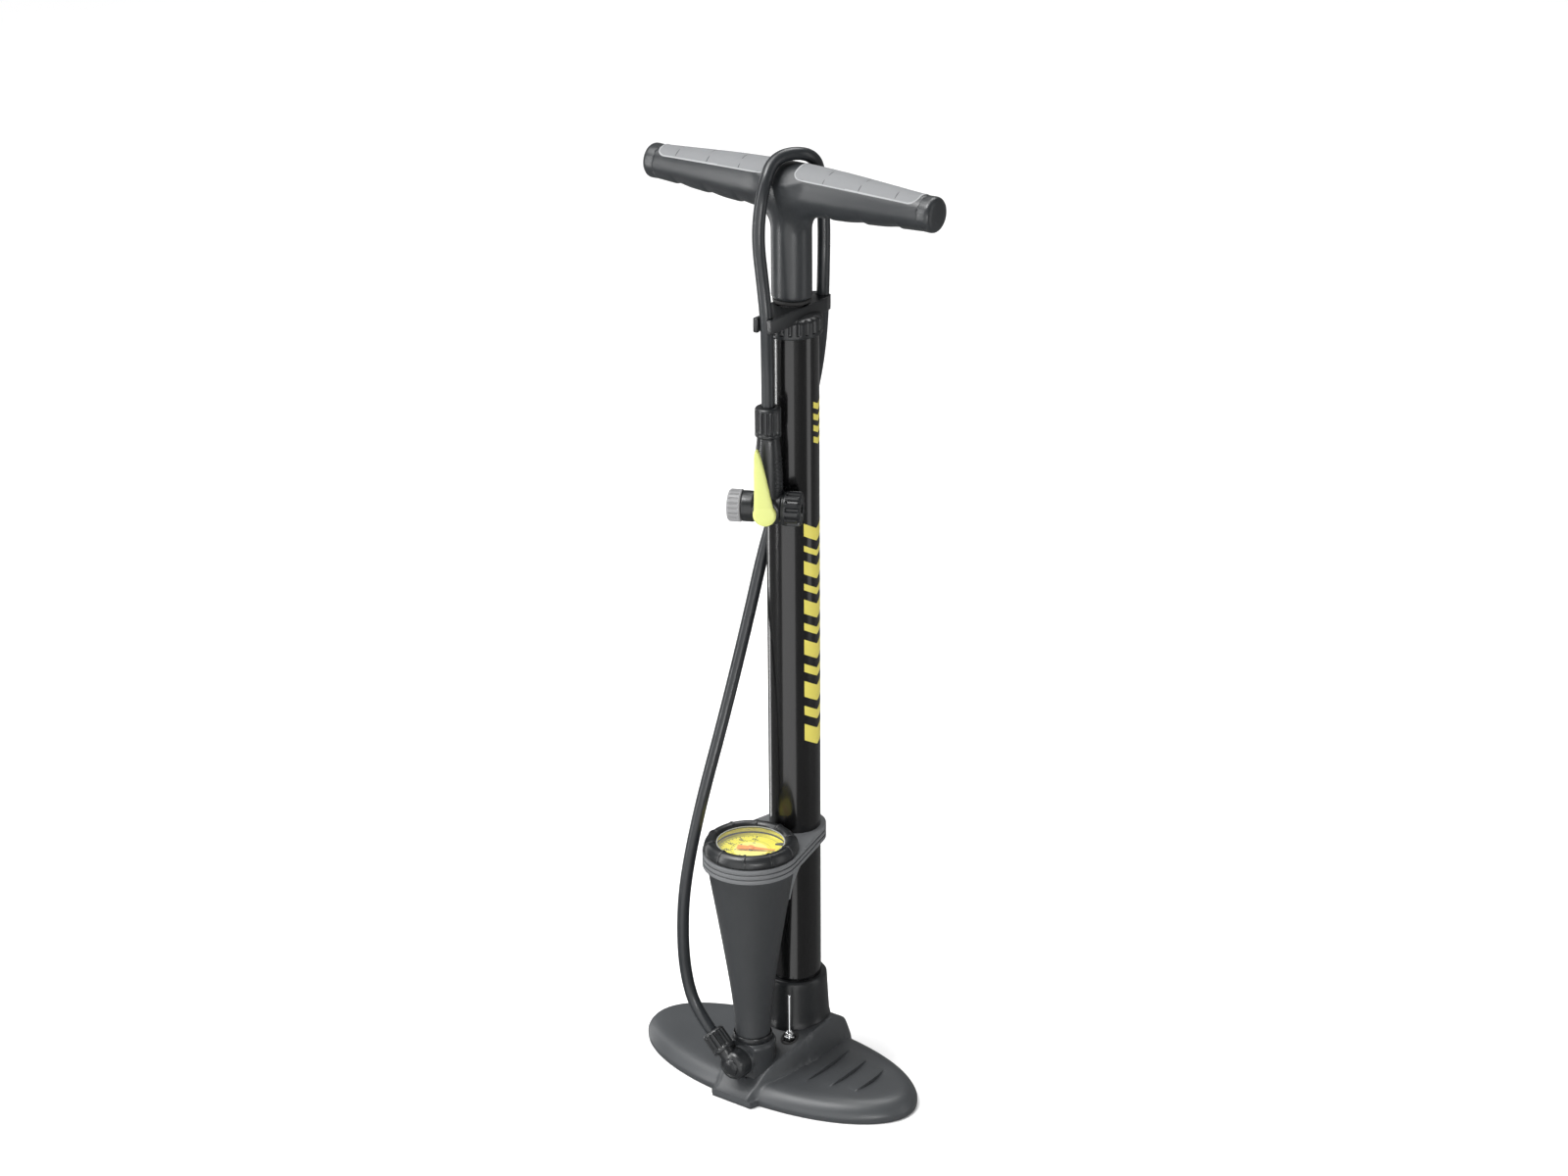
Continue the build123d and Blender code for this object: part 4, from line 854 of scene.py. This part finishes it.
prints = []
height, gap = 266.0, 7.2
for k in range(11):
    # Broad and narrow bands take turns, and both thin out upwards.
    thick = (13.0, 7.5)[k % 2] - 0.35 * k
    prints.append(chevron(height, 9.0, thick, -31.0, 57.0))
    height += thick + gap
for k in range(4):
    prints.append(chevron(497.0 + 8.5 * k, 4.0, 4.4, -4.0, 40.0))
piece("barrel_print", *join(*prints), "stand", PRINT_YELLOW, "yellow")

# ---------------- handle
HANDLE_Z, BAR_HALF, STEM_R, STEM_FOOT = 681.3, 112.5, 14.3, 602.9
FINGERS = (37.0, 65.0, 93.0)
BAR_FIT = np.polyfit(np.array((0, 30, 60, 88, BAR_HALF)) ** 2, (17.6, 17.1, 15.6, 13.6, 12.2), 2)


def bar_radius(x):
    """The bar's radius at a distance from its middle."""
    return np.polyval(BAR_FIT, np.minimum(np.abs(x), BAR_HALF + 0.5) ** 2)


def soft_min(a, b, k):
    """The smaller of two fields, blended as in soft_max."""
    return -soft_max(-a, -b, k)


def core_distance(p):
    """Signed distance-like field of the handle's core at points in mm."""
    x, y, z = p[:, 0], p[:, 1], p[:, 2] - HANDLE_Z
    around = np.hypot(y, z)
    under = smooth(-z / np.maximum(around, 1e-6), 0.15, 0.85)
    bar = around - bar_radius(x)
    for at in FINGERS:
        # Finger scallops along the bottom: a shallow hollow that ends in a small step.
        s = np.abs(x) - at
        bar = bar + under * np.exp(-((s / np.where(s > 0, 1.6, 8.0)) ** 2))
    stem = np.hypot(x, y) - STEM_R
    stem = soft_max(stem, z, 2.0)
    core = soft_min(bar, stem, 14.0)
    core = soft_max(core, (STEM_FOOT - HANDLE_Z) - z, 2.2)
    core = soft_max(core, np.abs(x) - BAR_HALF, 0.12)
    return core


def handle_mesh():
    """The core's surface: a coarse remeshed start, then its points are moved onto the field."""
    work = bmesh.new()
    rough_bar = lathe([(0, -112), (11.5, -112), (17, -20), (17, 20), (11.5, 112), (0, 112)], 32)
    rough_stem = lathe([(0, 0), (14, 0), (14, 60), (19, 76), (0, 80)], 32)
    verts, faces = join(moved(rough_bar, axes((0, 0, HANDLE_Z), (1, 0, 0), (0, 0, 1))),
                        moved(rough_stem, Matrix.Translation((0, 0, STEM_FOOT))))
    start = bpy.data.meshes.new("handle_start")
    start.from_pydata(verts, [], faces)
    work.from_mesh(start)
    bmesh.ops.remove_doubles(work, verts=work.verts, dist=1e-3)
    bmesh.ops.recalc_face_normals(work, faces=work.faces)
    work.to_mesh(start)
    work.free()
    holder = bpy.data.objects.new("handle_start", start)
    scene.collection.objects.link(holder)
    remesh = holder.modifiers.new("remesh", "REMESH")
    remesh.mode = "VOXEL"
    remesh.voxel_size = 1.25
    graph = bpy.context.evaluated_depsgraph_get()
    done = bpy.data.meshes.new_from_object(holder.evaluated_get(graph))
    bpy.data.objects.remove(holder)
    p = np.array([v.co for v in done.vertices], float)
    edges = np.array([e.vertices for e in done.edges])
    rounds, smoothed_rounds = 14, 8
    for turn_no in range(rounds):
        if turn_no < smoothed_rounds:
            total, count = np.zeros_like(p), np.zeros(len(p))
            for a, b in ((0, 1), (1, 0)):
                np.add.at(total, edges[:, a], p[edges[:, b]])
                np.add.at(count, edges[:, a], 1)
            p = 0.5 * p + 0.5 * total / count[:, None]
        d = core_distance(p)
        slope = np.stack([(core_distance(p + step) - core_distance(p - step)) / 0.1
                          for step in 0.05 * np.eye(3)], 1)
        size = np.maximum((slope**2).sum(1), 0.2)
        p = p - slope * np.clip(d / size, -3, 3)[:, None]
    return [tuple(v) for v in p], [tuple(f.vertices) for f in done.polygons]


piece("handle_core_moulded", *handle_mesh(), "plunger", CORE_GREY, "black_plastic",
      ["handle_core"], sharp=60)

INLAY_LOW, INLAY_HIGH, INLAY_ANGLE = 10.0, 109.8, 57.0


def inlay_mesh(side):
    """Inlay on one half of the bar, with rounded corners, a raised rim painted lighter as its
    highlight, and fine cross lines.
    """
    length = INLAY_HIGH - INLAY_LOW
    corner = 7.5
    xs = np.concatenate([np.linspace(0, 1.2, 5), np.linspace(1.8, corner, 12),
                         np.linspace(corner + 1, length - corner - 1, 74),
                         np.linspace(length - corner, length - 1.8, 12),
                         np.linspace(length - 1.2, length, 5)])
    rows = 49
    verts, heights = [], []
    for s in xs:
        x = INLAY_LOW + s
        r = float(bar_radius(x))
        half = radians(INLAY_ANGLE) * r
        end = min(s, length - s)
        width = half - (corner - sqrt(max(0.0, corner**2 - (corner - min(end, corner)) ** 2)))
        v = np.sin(np.linspace(-pi / 2, pi / 2, rows)) * 0.6 + np.linspace(-1, 1, rows) * 0.4
        for w in v * width:
            qx, qy = abs(s - length / 2) - (length / 2 - corner), abs(w) - (half - corner)
            inside = -(hypot(max(qx, 0), max(qy, 0)) + min(max(qx, qy), 0) - corner)
            lift = -0.9 + 1.25 * float(smooth(np.array(inside), -0.05, 0.9))
            lift -= 0.22 * float(smooth(np.array(inside), 1.5, 2.1))
            for at in FINGERS:
                lift -= 0.2 * np.exp(-((x - at - 0.10 * w) / 0.6) ** 2)
            a = w / r
            verts.append((side * x, (r + lift) * sin(a), HANDLE_Z + (r + lift) * cos(a)))
            heights.append(inside)
    top = grid_faces(len(xs), rows, wrap=False)
    # Faces on the raised rim near the edge take the second material, a lighter grey that paints the
    # rim's highlight.
    mats = [1 if sum(heights[i] for i in f) / 4 < 1.6 else 0 for f in top]
    return verts, top, mats


# The cap's first 1.9 mm laps over the core's end.
END_CAP_PROFILE = [
    (11.2, -1.9), (12.0, -1.9), (12.17, -1.7), (12.2, -1.0), (12.25, 1.0), (12.35, 4.4),
    (12.28, 5.4), (11.95, 6.4), (11.35, 7.2), (10.5, 7.8), (9.4, 8.2), (7.6, 8.45), (4, 8.75),
    (0, 8.85)]
for side, tag in ((-1, "left"), (1, "right")):
    verts, faces, mats = inlay_mesh(side)
    piece("grip_pad_" + tag, verts, faces, "plunger", INLAY, "grip_grey", ["grip_inlay_" + tag],
          extra=(INLAY_RIM_HIGHLIGHT,), face_mats=mats, sharp=60)
    piece("bar_end_" + tag, *lathe(END_CAP_PROFILE, 80), "plunger", CORE_GREY, "black_gloss",
          ["end_cap_" + tag], place=axes((side * BAR_HALF, 0, HANDLE_Z), (side, 0, 0), (0, 0, 1)))

# ---------------- hose head
HEAD_TURN = radians(25.0)
port_dir = Vector((cos(HEAD_TURN), sin(HEAD_TURN), 0))
front_dir = Vector((sin(HEAD_TURN), -cos(HEAD_TURN), 0))
PORT = axes(HEAD_AT, port_dir, (0, 0, 1))
STEM = axes(HEAD_AT, (0, 0, 1), port_dir)
FRONT = axes(HEAD_AT, front_dir, port_dir)

port_profile = rounded([
    (8.0, -25.3), (9.3, -25.3), (9.4, -18.4), (10.7, -18.2), (11.0, -17.6), (11.0, -10.5),
    (10.4, -9.5), (10.4, 5.2), (11.2, 5.9), (11.4, 6.4), (11.4, 9.6), (10.9, 10.1), (9.4, 10.2),
    (9.4, 22.0), (8.0, 22.0), (8.0, -25.3)], 0.5, 3)
boss_profile = rounded([(0, -12.0), (8.6, -12.0), (10.2, -10.6), (10.4, -6), (10.4, 8),
                        (10.0, 12.2), (8.0, 12.9), (5.0, 12.9)], 0.8, 3)


def stem_shape(a, r, z):
    """Oval stem, a little wider across the ports."""
    grow = 0.10 * max(0.0, 1 - abs(z - 22) / 40)
    return r * (1 + grow * abs(cos(a)))


stem_profile = [(9.6, 4.0), (9.6, 8.0), (9.4, 14.0), (9.1, 24.0), (8.7, 34.0), (8.3, 44.0),
                (7.9, 49.0), (7.7, 51.5), (7.3, 52.6), (6.2, 53.0)]
head_parts = [moved(lathe(port_profile, 80), PORT), moved(lathe(boss_profile, 72), FRONT),
              moved(lathe(stem_profile, 72, stem_shape), STEM)]
# Short slanted grip marks in two columns on the stem's outer side.
bar = slab([(-2.2, -0.35), (2.2, -0.35), (2.2, 0.35), (-2.2, 0.35)], 0.0, 1.0, 0.25, 2)
for k in range(9):
    z = 14.0 + 3.0 * k
    r = float(np.interp(z, [p[1] for p in stem_profile], [p[0] for p in stem_profile])) + 0.25
    for a, sink in ((-38.0, 0.45), (-8.0, 0.05)):
        out = Vector((cos(radians(a)), sin(radians(a)), 0))
        spot = axes(out * (r - sink) + Vector((0, 0, z)), out, (out.y, -out.x, 0.55))
        head_parts.append(moved(bar, STEM @ spot))
piece("head_shell", *join(*head_parts), "stand", BLACK, "black_plastic", ["head_body"])

piece("head_nut_ribbed", *hose_nut(21.6, 9.3, 6.6, 16), "stand", BLACK, "black_plastic",
      ["head_nut"], place=STEM @ Matrix.Translation((0, 0, 53.2)))

PRESTA_RIBS, SCHRADER_RIBS = 20, 12
presta_profile = ([(4.2, -25.4), (4.2, -28.2), (4.7, -28.6), (9.6, -28.6), (10.6, -28.2),
                   (11.3, -27.4)] + levels(11.6, -26.9, -19.4, 14) + [(11.2, -18.8), (9.5, -18.5)])
presta_flutes = fluted(PRESTA_RIBS, 0.75, -27.4, -19.4, 0.40)
piece("presta_cap_ribbed", *lathe(presta_profile, PRESTA_RIBS * 12, presta_flutes), "stand",
      PALE_CAP, "light_grey", ["presta_cap"], place=PORT)
schrader_profile = ([(9.5, 10.3), (11.6, 10.3), (12.0, 10.7), (12.0, 11.6)]
                    + levels(12.3, 12.0, 22.2, 18)
                    + [(11.9, 22.9), (11.2, 23.6), (10.4, 23.8), (5.4, 23.8), (5.0, 23.4),
                       (5.0, 22.1)])
schrader_flutes = fluted(SCHRADER_RIBS, 1.9, 13.4, 24.6, 0.50, 1.0)
piece("schrader_cap_fluted", *lathe(schrader_profile, SCHRADER_RIBS * 16, schrader_flutes),
      "stand", BLACK, "black_plastic", ["schrader_cap"], place=PORT)


def lever_mesh():
    """Tapered thumb lever: its two edges at rising heights, with crowned faces."""
    outline = ((-7.2, 7.2, 0.0), (-7.4, 6.8, 4.0), (-7.2, 5.6, 9.0), (-7.0, 4.3, 15.0),
               (-7.0, 2.9, 22.0), (-7.0, 1.4, 29.0), (-6.9, -0.3, 36.0), (-6.8, -1.8, 42.0),
               (-6.5, -3.0, 46.0), (-5.8, -4.2, 48.0))
    columns, level, belly, length = 15, 15.6, 40, 48
    verts = []
    for face_side in (1, -1):
        for x0, x1, z in outline:
            for k in range(columns):
                t = -1 + 2 * k / (columns - 1)
                x = (x0 + x1) / 2 + (x1 - x0) / 2 * sin(t * pi / 2)
                crown = sqrt(max(0.0, 1 - abs(sin(t * pi / 2)) ** 3.0))
                rise = 0.5 * sin(pi * min(z, belly) / belly) + 1.2 * (z / length) ** 2
                verts.append((x, z, level + rise + face_side * (0.5 + 1.7 * crown)))
    n = len(outline)
    outer = grid_faces(n, columns, wrap=False)
    faces = outer + [tuple(reversed([i + n * columns for i in f])) for f in outer]
    rim = ([i * columns for i in range(n)] + [(n - 1) * columns + k for k in range(1, columns)]
           + [i * columns + columns - 1 for i in range(n - 2, -1, -1)])
    faces += [(a, b, b + n * columns, a + n * columns) for a, b in zip(rim, rim[1:])]
    return verts, faces


lever_hub = lathe(rounded([(4.1, 13.3), (7.6, 13.3), (8.2, 14.0), (8.2, 16.6), (7.4, 17.7),
                           (5.0, 18.2), (0, 18.4)], 0.9, 4), 64)
piece("lever_blade", *join(lever_mesh(), lever_hub), "lever", YELLOW, "yellow", ["head_lever"],
      place=FRONT, sharp=45)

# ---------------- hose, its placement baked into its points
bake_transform(hose)

# ---------------- floor and light
FLOOR = surface("studio_floor", (0.96, 0.96, 0.96), 0.85, 0.05, 30.0, 0.01, 400.0, specular=0.1)
FLOOR_M = 14
floor_mesh = bpy.data.meshes.new("floor")
floor_mesh.from_pydata([(-FLOOR_M, -FLOOR_M, 0), (FLOOR_M, -FLOOR_M, 0), (FLOOR_M, FLOOR_M, 0),
                        (-FLOOR_M, FLOOR_M, 0)], [], [(0, 1, 2, 3)])
floor_mesh.materials.append(FLOOR)
floor = bpy.data.objects.new("floor", floor_mesh)
scene.collection.objects.link(floor)

# The strips reach below the floor, so that upright cylinders seen from above mirror them.
floor.visible_glossy = False
floor.visible_shadow = False

world = bpy.data.worlds.new("studio")
scene.world = world
world.use_nodes = True
world.node_tree.nodes["Background"].inputs["Color"].default_value = (1, 1, 1, 1)
world.node_tree.nodes["Background"].inputs["Strength"].default_value = 0.20


def area_light(name, at, size, power, look_at=(0, 0, 0.35), size_y=None):
    """Rectangular light in metres and watts, aimed at a point."""
    data = bpy.data.lights.new(name, "AREA")
    data.shape = "RECTANGLE"
    data.size, data.size_y = size, size_y or size
    data.energy = power
    light = bpy.data.objects.new(name, data)
    light.location = at
    light.rotation_euler = (Vector(look_at) - Vector(at)).to_track_quat("-Z", "Y").to_euler()
    scene.collection.objects.link(light)


sun_data = bpy.data.lights.new("sky_panel", "SUN")
sun_data.energy = 2.75
sun_data.angle = radians(50)
sun = bpy.data.objects.new("sky_panel", sun_data)
sun.rotation_euler = Vector((-0.35, -0.30, 1)).to_track_quat("Z", "Y").to_euler()
scene.collection.objects.link(sun)
area_light("front_panel", (0.55, -2.25, 0.1), 2.5, 30, size_y=2.8)
area_light("edge_strip", (-2.1, 0.3, 0.2), 0.40, 9, size_y=2.4)
area_light("left_strip", (-1.35, -1.75, 0.75), 0.20, 30, size_y=2.4)
area_light("right_strip", (2.1, 0.75, 0.5), 0.80, 7, size_y=2.2)
area_light("front_low", (1.7, -1.5, 0.35), 0.7, 14, look_at=(0.06, -0.03, 0.02), size_y=0.35)
area_light("top_panel", (-0.2, 0.9, 2.2), 1.0, 20, look_at=(0, 0, 0.3))
area_light("top_glint", (-0.35, -0.75, 2.0), 0.45, 12, look_at=(0, 0, 0.5))
scene.view_settings.view_transform = "Standard"
